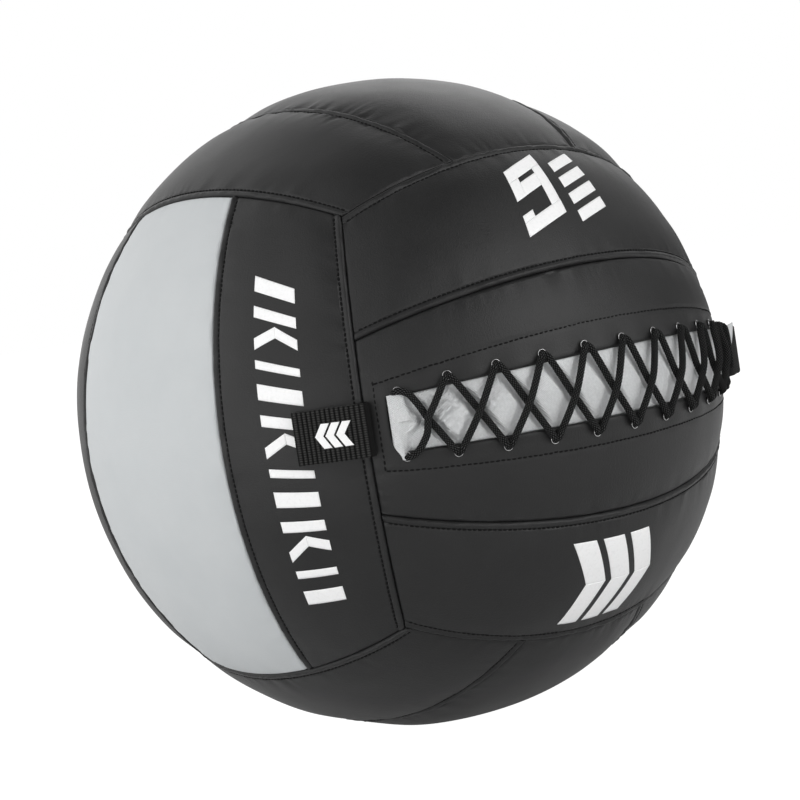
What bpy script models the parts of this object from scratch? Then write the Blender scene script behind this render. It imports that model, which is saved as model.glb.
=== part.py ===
"""Wall ball: a soft weighted exercise ball sewn from eighteen panels, laced shut over a cloth tongue.

The ball stands on its bottom panel with the laced slot facing -Y. Lengths are in metres, +Z is up and
the origin is the middle of the flat that the ball rests on.
"""
import bpy
import bmesh
from math import asin, atan, cos, pi, radians, sin, sqrt, tan
from mathutils import Matrix, Vector

MM = 0.001

# The ball and its skin
BALL_RADIUS = 175 * MM          # centre to the crown of a panel
SEAM_DIP = 2.8 * MM             # how far the seams lie below the crowns
CROWN_ROLL = 26 * MM            # width over which a panel rolls down to its seam
CROWN_POWER = 2.2
SKIN = 2.0 * MM                 # coated cloth of a panel
SEAM_ALLOWANCE = 6.5 * MM       # depth of the edge that is turned inward and sewn
SEAM_GAP = 0.36 * MM            # between two panels along a seam
REST_FLAT_DEPTH = 0.5 * MM      # flat on which the ball rests
MIDDLE_STRIP_SHARE = 0.372      # half width of a middle panel at its waist, of the cube face round the ball
MIDDLE_STRIP_END_SHARE = 0.345  # the same at its two ends

# The laced closure in the front middle panel
CLOSURE_RISE = 1.2 * MM         # the closure lies this much above the middle of its panel
SLOT_HALF_WIDTH = 17.0 * MM
SLOT_LENGTH_SHARE = 0.72        # half of the slot's length along the skin, of the ball's radius
EYELET_ROW_MARGIN = 4.3 * MM    # from the slot's edge to the eyelets' middles
EYELET_END_MARGIN = 5.5 * MM    # from the last eyelets to the slot's end
EYELETS_PER_ROW = 11
FACING_MARGIN = 7.2 * MM        # past the eyelets' middles
FACING_LAP = 5.5 * MM           # past each end of the slot
FACING = 1.2 * MM               # reinforcement cloth behind the slot's edge
TONGUE = 1.1 * MM
TONGUE_CLEARANCE = 0.6 * MM     # from its long edges to the eyelets' backs
TONGUE_LAP = 3.5 * MM           # past each end of the slot
TONGUE_BULGE = 2.6 * MM         # the tongue swells this far into the slot
TONGUE_SCALLOP = 0.5 * MM       # less under each crossing of the lace
SWELL_WIDTH_SHARE = 0.75        # of the tongue's width that swells
TONGUE_TUCK = 1.0 * MM          # the tongue is flat this far inside the slot's ends
TONGUE_RISE = 5.5 * MM          # and has its full swell this much further in
FIT_GAP = 0.3 * MM              # between pieces that touch
FACET_ALLOWANCE = 0.2 * MM      # for the flats of the panel's mesh

# Eyelets
EYELET_BORE_RADIUS = 1.45 * MM
EYELET_WALL = 0.35 * MM
EYELET_FLANGE_RADIUS = 2.5 * MM
EYELET_FLANGE = 0.5 * MM
EYELET_BACK_RADIUS = 2.3 * MM
EYELET_SIDES = 8

# The lace
LACE_RADIUS = 1.7 * MM
LACE_PINCHED_RADIUS = 0.42 * MM  # squeezed where two runs share one eyelet
LACE_UNDER_RADIUS = 1.0 * MM     # flattened under the tongue
LACE_PASS_OFFSET = 0.68 * MM     # of each run from the middle of an eyelet
LACE_CROSS_CLEARANCE = 0.6 * MM  # between two runs that cross

# The two webbing loops
WEBBING_WIDTH = 25 * MM
WEBBING = 1.3 * MM
WEBBING_SLIT = 0.6 * MM         # between the two plies of a loop
TAB_LENGTH = 32 * MM
TAB_AXIS_HEIGHT = 2.0 * MM      # of the fold line above the crown radius
TAB_ROOT_DEPTH = 3.7 * MM       # from the fold line down into the seam
LEFT_TAB_LIFT = 4.2 * MM
RIGHT_TAB_LIFT = 11.2 * MM

# The filling
PADDING = 9 * MM
PADDING_FACET_ALLOWANCE = 0.4 * MM
BALLAST_RADIUS = 72 * MM
BALLAST_HEIGHT_SHARE = 0.82

CUT_OVERRUN = 4 * MM

SEAM_RADIUS = BALL_RADIUS - SEAM_DIP
FACING_HEIGHT = -(SKIN + FIT_GAP + FACET_ALLOWANCE)
BEHIND_FACING = FACING_HEIGHT - FACING - FIT_GAP
SLOT_HALF_LENGTH = SLOT_LENGTH_SHARE * BALL_RADIUS
EYELET_ROW_OFFSET = SLOT_HALF_WIDTH + EYELET_ROW_MARGIN
FACING_HALF_WIDTH = EYELET_ROW_OFFSET + FACING_MARGIN
TONGUE_HALF_WIDTH = EYELET_ROW_OFFSET - EYELET_BACK_RADIUS - TONGUE_CLEARANCE
FACING_HALF_LENGTH = SLOT_HALF_LENGTH + FACING_LAP
TONGUE_HALF_LENGTH = SLOT_HALF_LENGTH + TONGUE_LAP
EYELET_SPACING = 2 * (SLOT_HALF_LENGTH - EYELET_END_MARGIN) / (EYELETS_PER_ROW - 1)
BALL_CENTRE = Vector((0, 0, BALL_RADIUS - REST_FLAT_DEPTH))
QUARTER = pi / 4
X, Y, Z = Vector((1, 0, 0)), Vector((0, 1, 0)), Vector((0, 0, 1))

# Each face of the cube round the ball: outward normal, direction of its three strips, direction across them
FACES = {
    "front": (-Y, X, Z),
    "back": (Y, -X, Z),
    "left": (-X, Z, Y),
    "right": (X, Z, -Y),
    "top": (Z, Y, -X),
    "bottom": (-Z, Y, X),
}
PANEL_NAMES = {
    "front": ("front_lower_panel", "front_middle_panel", "front_upper_panel"),
    "back": ("back_lower_panel", "back_middle_panel", "back_upper_panel"),
    "left": ("left_front_panel", "left_middle_panel", "left_back_panel"),
    "right": ("right_back_panel", "right_middle_panel", "right_front_panel"),
    "top": ("top_right_panel", "top_middle_panel", "top_left_panel"),
    "bottom": ("bottom_left_panel", "bottom_middle_panel", "bottom_right_panel"),
}
PANEL_GRID = (10, 4)
FINE_PANEL_GRIDS = {"front_middle_panel": (24, 8), "bottom_middle_panel": (16, 8)}
SILVER_PANELS = ("left_middle_panel",)


def clear_scene():
    for obj in list(bpy.data.objects):
        bpy.data.objects.remove(obj, do_unlink=True)


def new_collection(name):
    collection = bpy.data.collections.new(name)
    bpy.context.scene.collection.children.link(collection)
    return collection


def material(name, colour, roughness, metallic=0.0):
    mat = bpy.data.materials.new(name)
    mat.use_nodes = True
    shader = mat.node_tree.nodes["Principled BSDF"]
    shader.inputs["Base Color"].default_value = (*colour, 1.0)
    shader.inputs["Roughness"].default_value = roughness
    shader.inputs["Metallic"].default_value = metallic
    return mat


def mesh_object(name, bm, collection, mat=None, smooth=True):
    mesh = bpy.data.meshes.new(name)
    bm.to_mesh(mesh)
    bm.free()
    if smooth:
        mesh.shade_smooth()
        mesh.set_sharp_from_angle(angle=radians(35))
    obj = bpy.data.objects.new(name, mesh)
    collection.objects.link(obj)
    if mat:
        obj.data.materials.append(mat)
    return obj


def add_solidify(obj, thickness):
    shell = obj.modifiers.new("thickness", "SOLIDIFY")
    shell.thickness = thickness
    shell.offset = -1
    shell.use_even_offset = True
    shell.use_quality_normals = True


def add_cut(obj, cutter):
    cut = obj.modifiers.new("cut " + cutter.name, "BOOLEAN")
    cut.operation = "DIFFERENCE"
    cut.object = cutter


def as_cutter(obj):
    obj.hide_render = True
    obj.display_type = "WIRE"
    return obj


# Shape of the ball


def strip_edge(u):
    """Edge of a middle strip on the cube face, at u along the strip."""
    return MIDDLE_STRIP_END_SHARE + (MIDDLE_STRIP_SHARE - MIDDLE_STRIP_END_SHARE) * (1 - u * u)


def roll(distance):
    """Rises from 0 on a seam to 1 on a panel's crown."""
    reach = min(max(distance / CROWN_ROLL, 0.0), 1.0)
    return 1 - (1 - reach) ** CROWN_POWER


def skin_radius(u, w):
    """Distance from the ball's centre to the skin, at u along and w across a cube face."""
    length = sqrt(1 + u * u + w * w)
    edge = strip_edge(min(abs(u), 1.0))
    to_end = asin(max(1 - abs(u), 0.0) / sqrt(2) / length)
    to_strip = asin(min(abs(abs(w) - edge) / sqrt(1 + edge * edge) / length, 1.0))
    rise = roll(BALL_RADIUS * to_end) * roll(BALL_RADIUS * to_strip)
    if abs(w) > edge:
        rise *= roll(BALL_RADIUS * asin(max(1 - abs(w), 0.0) / sqrt(2) / length))
    return SEAM_RADIUS + SEAM_DIP * rise


def on_face(face, u, w, height=0.0):
    """Point above the skin of a cube face."""
    normal, along, across = FACES[face]
    direction = (normal + along * u + across * w).normalized()
    return BALL_CENTRE + direction * (skin_radius(u, w) + height)


def on_front(along, offset, height=0.0):
    """Point on the laced panel: along the skin from its middle, offset from the closure's middle line."""
    return on_face("front", tan(along / BALL_RADIUS), (offset + CLOSURE_RISE) / BALL_RADIUS, height)


def crowd_ends(share):
    """Moves evenly spaced shares from -1 to 1 towards both ends, where the skin curves most."""
    crowding_share = 0.35
    return share * (1 - crowding_share) + crowding_share * sin(pi / 2 * share)


# Panels


def panel_place(strip, along_share, across_share):
    """Place on the cube face of a share of a panel, whose edges keep half the seam gap."""
    half_gap = SEAM_GAP / 2 / SEAM_RADIUS
    u = tan(crowd_ends(along_share) * (QUARTER - half_gap))
    edge = strip_edge(min(abs(u), 1.0))
    if strip == 0:
        return u, crowd_ends(across_share) * (edge - half_gap * (1 + edge * edge))
    inner = atan(edge) + half_gap * sqrt(1 + u * u)
    outer = QUARTER - half_gap
    return u, strip * tan(inner + (outer - inner) * (strip * crowd_ends(across_share) + 1) / 2)


def turn_edge_inward(bm):
    """Adds the seam allowance: the edge of the panel turned in towards the ball's centre."""
    border = [edge for edge in bm.edges if edge.is_boundary]
    turned = bmesh.ops.extrude_edge_only(bm, edges=border)["geom"]
    for vert in (item for item in turned if isinstance(item, bmesh.types.BMVert)):
        outward = vert.co - BALL_CENTRE
        vert.co = BALL_CENTRE + outward.normalized() * (outward.length - SEAM_ALLOWANCE)


def make_panel(name, face, strip, collection, mat):
    along_count, across_count = FINE_PANEL_GRIDS.get(name, PANEL_GRID)
    bm = bmesh.new()
    bmesh.ops.create_grid(bm, x_segments=along_count, y_segments=across_count, size=1)
    for vert in bm.verts:
        u, w = panel_place(strip, vert.co.x, vert.co.y)
        vert.co = on_face(face, u, w)
    turn_edge_inward(bm)
    bmesh.ops.recalc_face_normals(bm, faces=bm.faces)
    panel = mesh_object(name, bm, collection, mat)
    add_solidify(panel, SKIN)
    return panel


def make_rest_cutter(cutters):
    """Block below the ground plane that leaves the flat the ball rests on."""
    bm = bmesh.new()
    bmesh.ops.create_cube(bm, size=BALL_RADIUS)
    bmesh.ops.translate(bm, vec=-Z * BALL_RADIUS / 2, verts=bm.verts)
    return as_cutter(mesh_object("rest_cutter", bm, cutters, smooth=False))


# Closure


def front_slab(name, half_length, half_width, counts, height, thickness, collection, mat=None):
    """Cloth that follows the laced panel, with its outer face at a height that may change over it."""
    bm = bmesh.new()
    bmesh.ops.create_grid(bm, x_segments=counts[0], y_segments=counts[1], size=1)
    for vert in bm.verts:
        along, offset = vert.co.x * half_length, vert.co.y * half_width
        vert.co = on_front(along, offset, height(along, offset))
    slab = mesh_object(name, bm, collection, mat)
    add_solidify(slab, thickness)
    return slab


def make_slot_cutter(cutters):
    """Slab of the slot's outline that passes through the skin and its facing."""
    depth = SKIN + FACING + CUT_OVERRUN
    above = CUT_OVERRUN
    return as_cutter(front_slab("slot_cutter", SLOT_HALF_LENGTH, SLOT_HALF_WIDTH, (22, 2),
                                lambda along, offset: above, above + depth, cutters))


def eyelet_places():
    """Row name, number, place along the skin and offset of each eyelet."""
    middle = (EYELETS_PER_ROW - 1) / 2
    for row, side in (("upper", 1), ("lower", -1)):
        for number in range(EYELETS_PER_ROW):
            yield row, number, (number - middle) * EYELET_SPACING, side * EYELET_ROW_OFFSET


def outward_frame(along, offset):
    """Matrix whose Z points squarely out of the skin at a place on the laced panel."""
    seat = on_front(along, offset)
    across = on_front(along, offset + SKIN) - on_front(along, offset - SKIN)
    outward = (on_front(along + SKIN, offset) - on_front(along - SKIN, offset)).cross(across).normalized()
    return Matrix.Translation(seat) @ outward.to_track_quat("Z", "Y").to_matrix().to_4x4()


def make_hole_cutter(cutters):
    """Round cutters for every eyelet, kept in one object."""
    bm = bmesh.new()
    radius = EYELET_BORE_RADIUS + EYELET_WALL + FIT_GAP
    depth = 2 * (SKIN + FACING + CUT_OVERRUN)
    for _, _, along, offset in eyelet_places():
        bmesh.ops.create_cone(bm, cap_ends=True, segments=EYELET_SIDES, radius1=radius, radius2=radius,
                              depth=depth, matrix=outward_frame(along, offset))
    return as_cutter(mesh_object("hole_cutter", bm, cutters, smooth=False))


def eyelet_mesh(mat):
    """Spool of thin metal: front flange, barrel through the cloths and rolled back edge."""
    barrel = EYELET_BORE_RADIUS + EYELET_WALL
    back = BEHIND_FACING
    profile = [
        (EYELET_BORE_RADIUS, FIT_GAP + EYELET_FLANGE),
        (EYELET_FLANGE_RADIUS, FIT_GAP),
        (barrel, FIT_GAP),
        (barrel, back),
        (EYELET_BACK_RADIUS, back),
        (EYELET_BORE_RADIUS, back - EYELET_WALL),
    ]
    bm = bmesh.new()
    verts = [bm.verts.new((radius, 0, height)) for radius, height in profile]
    edges = [bm.edges.new((verts[i], verts[(i + 1) % len(verts)])) for i in range(len(verts))]
    bmesh.ops.spin(bm, geom=verts + edges, axis=Z, cent=Vector((0, 0, 0)), angle=2 * pi,
                   steps=EYELET_SIDES, use_merge=True)
    bmesh.ops.remove_doubles(bm, verts=bm.verts, dist=0.01 * MM)
    bmesh.ops.recalc_face_normals(bm, faces=bm.faces)
    mesh = bpy.data.meshes.new("eyelet")
    bm.to_mesh(mesh)
    bm.free()
    mesh.shade_smooth()
    mesh.set_sharp_from_angle(angle=radians(50))
    mesh.materials.append(mat)
    return mesh


def make_eyelets(collection, mat):
    mesh = eyelet_mesh(mat)
    for row, number, along, offset in eyelet_places():
        eyelet = bpy.data.objects.new(f"eyelet_{row}_{number + 1:02d}", mesh)
        eyelet.matrix_world = outward_frame(along, offset)
        collection.objects.link(eyelet)


def tongue_height(along, offset):
    """Outer face of the tongue: behind the facing at the slot's edge, swelling between the crossings."""
    inside = max(1 - (offset / (SWELL_WIDTH_SHARE * TONGUE_HALF_WIDTH)) ** 2, 0.0)
    end = min(max((SLOT_HALF_LENGTH - TONGUE_TUCK - abs(along)) / TONGUE_RISE, 0.0), 1.0)
    wave = (1 + cos(2 * pi * along / EYELET_SPACING)) / 2
    return BEHIND_FACING + end * inside * (TONGUE_BULGE - TONGUE_SCALLOP * (1 - wave))


def make_tongue(collection, mat):
    """Cloth strip under the slot, with two rows of points close together where it dips at each end."""
    along_count, across_count = 26, 8
    flat_end = SLOT_HALF_LENGTH - TONGUE_TUCK
    rows = {0: TONGUE_HALF_LENGTH, 1: flat_end, 2: flat_end - TONGUE_RISE}
    bm = bmesh.new()
    bmesh.ops.create_grid(bm, x_segments=along_count, y_segments=across_count, size=1)
    for vert in bm.verts:
        row = round((1 - abs(vert.co.x)) * along_count / 2)
        even = rows[2] * abs(vert.co.x) / (1 - 4 / along_count)
        along = rows.get(row, even) * (1 if vert.co.x > 0 else -1)
        offset = vert.co.y * TONGUE_HALF_WIDTH
        vert.co = on_front(along, offset, tongue_height(along, offset))
    tongue = mesh_object("tongue", bm, collection, mat)
    add_solidify(tongue, TONGUE)


# Lace


def run_over(start, side, high):
    """Points of one run on the outside, from an eyelet across the slot to the next one opposite.

    Each point is (along, offset, height, radius). side is +1 from the upper row down, -1 the other way.
    """
    top = FIT_GAP + EYELET_FLANGE
    lift = LACE_RADIUS + 2 * FIT_GAP
    mid_low = BEHIND_FACING + TONGUE_BULGE + LACE_RADIUS + FIT_GAP
    mid = mid_low + (2 * LACE_RADIUS + LACE_CROSS_CLEARANCE if high else 0.0)
    slope = (EYELET_SPACING - 2 * LACE_PASS_OFFSET) / (2 * EYELET_ROW_OFFSET)
    steps = (
        (0.0, top, LACE_PINCHED_RADIUS),
        (EYELET_BORE_RADIUS, top + 2.3 * LACE_PINCHED_RADIUS, 1.4 * LACE_PINCHED_RADIUS),
        (EYELET_FLANGE_RADIUS + FIT_GAP, lift + FIT_GAP, 0.76 * LACE_RADIUS),
        (EYELET_ROW_OFFSET - SLOT_HALF_WIDTH, lift, LACE_RADIUS),
        (0.62 * EYELET_ROW_OFFSET, lift + (mid - lift) * 0.6, LACE_RADIUS),
    )
    first = [(start + LACE_PASS_OFFSET + slope * gone, side * (EYELET_ROW_OFFSET - gone), height, radius)
             for gone, height, radius in steps]
    centre = start + EYELET_SPACING / 2
    second = [(2 * centre - along, -offset, height, radius) for along, offset, height, radius in first]
    return first + [(centre, 0.0, mid, LACE_RADIUS)] + second[::-1]


def run_under(place, side, high):
    """Points of one run behind the tongue, from side +1 (upper row) or -1 straight to the other row."""
    back = BEHIND_FACING - EYELET_WALL
    deep = BEHIND_FACING - TONGUE - 2 * FIT_GAP - LACE_UNDER_RADIUS
    spread = (2 * LACE_UNDER_RADIUS + LACE_CROSS_CLEARANCE) / sqrt(2)
    steps = (
        (0.0, LACE_PASS_OFFSET, back, LACE_PINCHED_RADIUS),
        (0.05 * EYELET_ROW_OFFSET, 1.2 * LACE_PASS_OFFSET, (back + deep) / 2, LACE_PINCHED_RADIUS),
        (0.17 * EYELET_ROW_OFFSET, spread, deep, LACE_UNDER_RADIUS),
    )
    first = [(place - shift, side * (EYELET_ROW_OFFSET - gone), height, radius)
             for gone, shift, height, radius in steps]
    second = [(place + shift, -side * (EYELET_ROW_OFFSET - gone), height, radius)
              for gone, shift, height, radius in steps]
    crossing = deep + (spread if high else -spread)
    return first + [(place, 0.0, crossing, LACE_UNDER_RADIUS)] + second[::-1]


# Ends of the lace, laid over the slot's right end. Each point is in pitches along from the last eyelet,
# then shares of the row offset, of a layer's height and of the lace's radius.
TIED_UPPER_SHARES = ((0.85, 0.84, 0, 0.88), (1.0, 0.66, 0, 1), (1.0, 0, 0, 1), (1.0, -0.68, 0, 1),
                     (1.27, -0.82, 0, 1), (1.76, -0.82, 0, 1), (2.03, -0.68, 0, 1), (2.03, 0, 0, 1),
                     (2.03, 0.68, 0, 1))
TIED_LOWER_SHARES = ((1.0, -1.09, 0, 0.88), (2.05, -1.12, 0, 1), (2.8, -1.02, 0, 1), (3.07, -0.8, 0, 1),
                     (3.07, 0, 0, 1), (3.07, 0.66, 0, 1), (2.9, 0.87, 0, 1), (2.35, 0.98, 0.1, 1),
                     (1.8, 0.93, 0.5, 1), (1.53, 0.75, 1, 1), (1.53, 0, 1, 1), (1.53, -0.5, 1, 1))


def run_tied(start, side, shares):
    """Points of a tied end, from the outside of the last eyelet."""
    top = FIT_GAP + EYELET_FLANGE
    pitch = 2 * LACE_RADIUS + LACE_CROSS_CLEARANCE
    layer = sqrt(pitch ** 2 - (pitch / 2) ** 2)
    points = [
        (start + LACE_PASS_OFFSET, side * EYELET_ROW_OFFSET, top, LACE_PINCHED_RADIUS),
        (start + 2.4 * LACE_PASS_OFFSET, side * EYELET_ROW_OFFSET - LACE_PASS_OFFSET,
         top + 2.3 * LACE_PINCHED_RADIUS, 1.4 * LACE_PINCHED_RADIUS),
    ]
    for pitches, offset_share, layers, radius_share in shares:
        points.append((start + pitches * pitch, offset_share * EYELET_ROW_OFFSET,
                       LACE_RADIUS + 2 * FIT_GAP + layers * layer, radius_share * LACE_RADIUS))
    return points


def lace_route():
    """The whole lace, end to end: two crossing runs that share every eyelet and are tied at the right."""
    middle = (EYELETS_PER_ROW - 1) / 2
    places = [(number - middle) * EYELET_SPACING for number in range(EYELETS_PER_ROW)]
    first, second = [], []
    for number, place in enumerate(places[:-1]):
        following = places[number + 1]
        first += run_over(place, 1, False) + run_under(following, -1, True)
        second += run_over(place, -1, True) + run_under(following, 1, False)
    first += run_tied(places[-1], 1, TIED_UPPER_SHARES)
    second += run_tied(places[-1], -1, TIED_LOWER_SHARES)
    joint = run_under(places[0], 1, True)
    joint = [(2 * places[0] - along if offset > 0 else along, offset, height, radius)
             for along, offset, height, radius in joint]
    return first[::-1] + joint + second


def least_gap_to_itself(points):
    """Least clear distance between stretches of the lace that aren't neighbours along it."""
    samples, run = [], 0.0
    for (start, start_radius), (end, end_radius) in zip(points, points[1:]):
        for share in (0, 1 / 3, 2 / 3):
            radius = start_radius + (end_radius - start_radius) * share
            samples.append((start.lerp(end, share), radius, run + (end - start).length * share))
        run += (end - start).length
    least = BALL_RADIUS
    for i, (place, radius, at) in enumerate(samples):
        for other, other_radius, other_at in samples[i + 1:]:
            if other_at - at > 4 * LACE_RADIUS:
                least = min(least, (other - place).length - radius - other_radius)
    return least


def make_lace(collection, mat):
    route = [(on_front(along, offset, height), radius) for along, offset, height, radius in lace_route()]
    curve = bpy.data.curves.new("lace", "CURVE")
    curve.dimensions = "3D"
    curve.bevel_depth = LACE_RADIUS
    curve.bevel_resolution = 1
    curve.use_fill_caps = True
    spline = curve.splines.new("POLY")
    spline.points.add(len(route) - 1)
    for point, (place, radius) in zip(spline.points, route):
        point.co = (*place, 1)
        point.radius = radius / LACE_RADIUS
    lace = bpy.data.objects.new("lace", curve)
    collection.objects.link(lace)
    curve.materials.append(mat)
    length = sum((b[0] - a[0]).length for a, b in zip(route, route[1:]))
    print(f"lace: {len(route)} points, {length:.3f} m long, "
          f"least gap to itself {least_gap_to_itself(route) / MM:.2f} mm")


# Webbing loops

# Route of a loop's middle line, from its root: share of the tab's length along the skin, then share of
# its lift above the fold line, or of the root's depth below it.
LEFT_TAB_SHARES = ((0.0, -1.0), (-0.045, -0.35), (-0.068, 0.3), (-0.02, 0.8),
                   (0.11, 1.0), (0.31, 0.86), (0.62, 0.55), (1.0, 0.21))
RIGHT_TAB_SHARES = ((0.0, -1.0), (0.006, -0.27), (0.05, 0.11), (0.17, 0.27),
                    (0.41, 0.51), (0.7, 0.78), (1.0, 1.0))


def smooth_route(shares, lift, side):
    """Smooth curve through a loop's route, in the plane square to the fold line, from that line."""
    axis_radius = BALL_RADIUS + TAB_AXIS_HEIGHT
    knots = []
    for along_share, height_share in shares:
        height = height_share * (lift if height_share > 0 else TAB_ROOT_DEPTH)
        angle = along_share * TAB_LENGTH / BALL_RADIUS
        reach = axis_radius + height
        knots.append(Vector((side * reach * sin(angle), reach * cos(angle) - axis_radius)))
    padded = [2 * knots[0] - knots[1]] + knots + [2 * knots[-1] - knots[-2]]
    points = []
    steps = 2
    for a, b, c, d in zip(padded, padded[1:], padded[2:], padded[3:]):
        for step in range(steps):
            t = step / steps
            points.append((2 * b + (c - a) * t + (2 * a - 5 * b + 4 * c - d) * t ** 2
                           + (3 * b - a - 3 * c + d) * t ** 3) / 2)
    return points + [knots[-1]]


def loop_outline(route):
    """Outline of a band folded at its tip: outer face, then back along the slit between its plies."""
    outer = WEBBING_SLIT / 2 + WEBBING
    inner = WEBBING_SLIT / 2
    normals = []
    for before, after in zip([route[0]] + route[:-1], route[1:] + [route[-1]]):
        run = (after - before).normalized()
        normals.append(Vector((-run.y, run.x)))
    ahead = (route[-1] - route[-2]).normalized()
    fold = [pi / 2 - pi * step / 4 for step in range(1, 4)]

    def side_line(distance, sign):
        return [point + normal * distance * sign for point, normal in zip(route, normals)]

    def fold_line(distance):
        return [route[-1] + ahead * distance * cos(turn) + normals[-1] * distance * sin(turn) for turn in fold]

    outside = side_line(outer, 1) + fold_line(outer) + side_line(outer, -1)[::-1]
    inside = side_line(inner, -1) + fold_line(inner)[::-1] + side_line(inner, 1)[::-1]
    return outside + inside


def make_tab(name, shares, lift, side, collection, mat):
    """Loop of webbing whose root is sewn into a side seam, with its fold line as its origin."""
    outline = loop_outline(smooth_route(shares, lift, side))
    curve = bpy.data.curves.new(name, "CURVE")
    curve.dimensions = "2D"
    curve.fill_mode = "BOTH"
    curve.extrude = WEBBING_WIDTH / 2
    spline = curve.splines.new("POLY")
    spline.points.add(len(outline) - 1)
    for point, place in zip(spline.points, outline):
        point.co = (place.x, place.y, 0, 1)
    spline.use_cyclic_u = True
    tab = bpy.data.objects.new(name, curve)
    outward = Vector((side, -1, 0)).normalized()
    tangent = Vector((side, 1, 0)).normalized() * side
    frame = Matrix((tangent, outward, tangent.cross(outward))).transposed().to_4x4()
    tab.matrix_world = Matrix.Translation(BALL_CENTRE + outward * (BALL_RADIUS + TAB_AXIS_HEIGHT)) @ frame
    collection.objects.link(tab)
    curve.materials.append(mat)
    return tab


# Filling


def half_shell(name, outer, inner, side, collection, mat):
    """Half of a thick round shell, open at the ball's middle plane. inner is (radius, height share)."""
    arc_steps, turns = 4, 16
    start = FIT_GAP / 2
    bm = bmesh.new()

    def arc(radius, height_share):
        lowest = asin(min(start / (radius * height_share), 1.0))
        angles = [lowest + (pi / 2 - lowest) * step / arc_steps for step in range(arc_steps + 1)]
        return [(radius * cos(angle) if angle < pi / 2 else 0.0, radius * height_share * sin(angle))
                for angle in angles]

    outline = arc(outer, 1.0) + arc(*inner)[::-1]
    verts = [bm.verts.new((radius, 0, side * height)) for radius, height in outline]
    edges = [bm.edges.new((verts[i], verts[i + 1])) for i in range(len(verts) - 1) if i != arc_steps]
    edges.append(bm.edges.new((verts[0], verts[-1])))
    bmesh.ops.spin(bm, geom=verts + edges, axis=Z, cent=Vector((0, 0, 0)), angle=2 * pi, steps=turns,
                   use_merge=True)
    bmesh.ops.remove_doubles(bm, verts=bm.verts, dist=0.01 * MM)
    bmesh.ops.recalc_face_normals(bm, faces=bm.faces)
    shell = mesh_object(name, bm, collection, mat)
    shell.location = BALL_CENTRE
    return shell


def make_ballast(collection, mat):
    """Flattened bag of iron sand in the middle of the filling."""
    radius = BALLAST_RADIUS - FIT_GAP
    half_height = BALLAST_RADIUS * BALLAST_HEIGHT_SHARE - FIT_GAP
    bm = bmesh.new()
    bmesh.ops.create_uvsphere(bm, u_segments=16, v_segments=8, radius=radius)
    bmesh.ops.scale(bm, vec=(1, 1, half_height / radius), verts=bm.verts)
    bag = mesh_object("ballast_bag", bm, collection, mat)
    bag.location = BALL_CENTRE
    return bag


def main():
    clear_scene()
    ball = new_collection("wall_ball")
    cutters = new_collection("cutters")

    black_skin = material("black_skin", (0.045, 0.045, 0.047), 0.46)
    silver_skin = material("silver_skin", (0.58, 0.60, 0.61), 0.42)
    silver_cloth = material("silver_cloth", (0.60, 0.62, 0.63), 0.55)
    facing_cloth = material("facing_cloth", (0.03, 0.03, 0.03), 0.8)
    lace_cord = material("lace_cord", (0.012, 0.012, 0.013), 0.8)
    webbing = material("webbing", (0.012, 0.012, 0.012), 0.85)
    nickel = material("nickel", (0.75, 0.75, 0.76), 0.22, 1.0)
    foam = material("foam", (0.75, 0.73, 0.66), 0.9)
    fibre = material("fibre", (0.5, 0.5, 0.5), 0.95)
    canvas = material("canvas", (0.35, 0.32, 0.26), 0.9)

    for face, names in PANEL_NAMES.items():
        for strip, name in zip((-1, 0, 1), names):
            make_panel(name, face, strip, ball, silver_skin if name in SILVER_PANELS else black_skin)
    add_cut(ball.objects["bottom_middle_panel"], make_rest_cutter(cutters))

    slot_cutter = make_slot_cutter(cutters)
    hole_cutter = make_hole_cutter(cutters)
    facing = front_slab("slot_facing", FACING_HALF_LENGTH, FACING_HALF_WIDTH, (22, 6),
                        lambda along, offset: FACING_HEIGHT, FACING, ball, facing_cloth)
    for cloth in (ball.objects["front_middle_panel"], facing):
        add_cut(cloth, slot_cutter)
        add_cut(cloth, hole_cutter)
    make_tongue(ball, silver_cloth)
    make_eyelets(ball, nickel)
    make_lace(ball, lace_cord)
    make_tab("tab_left", LEFT_TAB_SHARES, LEFT_TAB_LIFT, -1, ball, webbing)
    make_tab("tab_right", RIGHT_TAB_SHARES, RIGHT_TAB_LIFT, 1, ball, webbing)

    padding_radius = SEAM_RADIUS - SEAM_ALLOWANCE - FIT_GAP - PADDING_FACET_ALLOWANCE
    fill_radius = padding_radius - PADDING
    for half, side in (("upper", 1), ("lower", -1)):
        half_shell(f"padding_{half}", padding_radius, (fill_radius + FIT_GAP, 1.0), side, ball, foam)
        half_shell(f"fill_{half}", fill_radius, (BALLAST_RADIUS, BALLAST_HEIGHT_SHARE), side, ball, fibre)
    make_ballast(ball, canvas)


main()
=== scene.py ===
"""Looks of the laced wall ball: sewn coated-cloth panels, tongue, braided lace, eyelets and webbing loops.

Shapes are worked out in millimetres, and mesh_piece turns them into metres. Materials, camera and lamps
are in metres.
"""

from math import cos, pi, radians, sin, sqrt

import bmesh
import bpy
import numpy as np
from mathutils import Matrix, Vector


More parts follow.
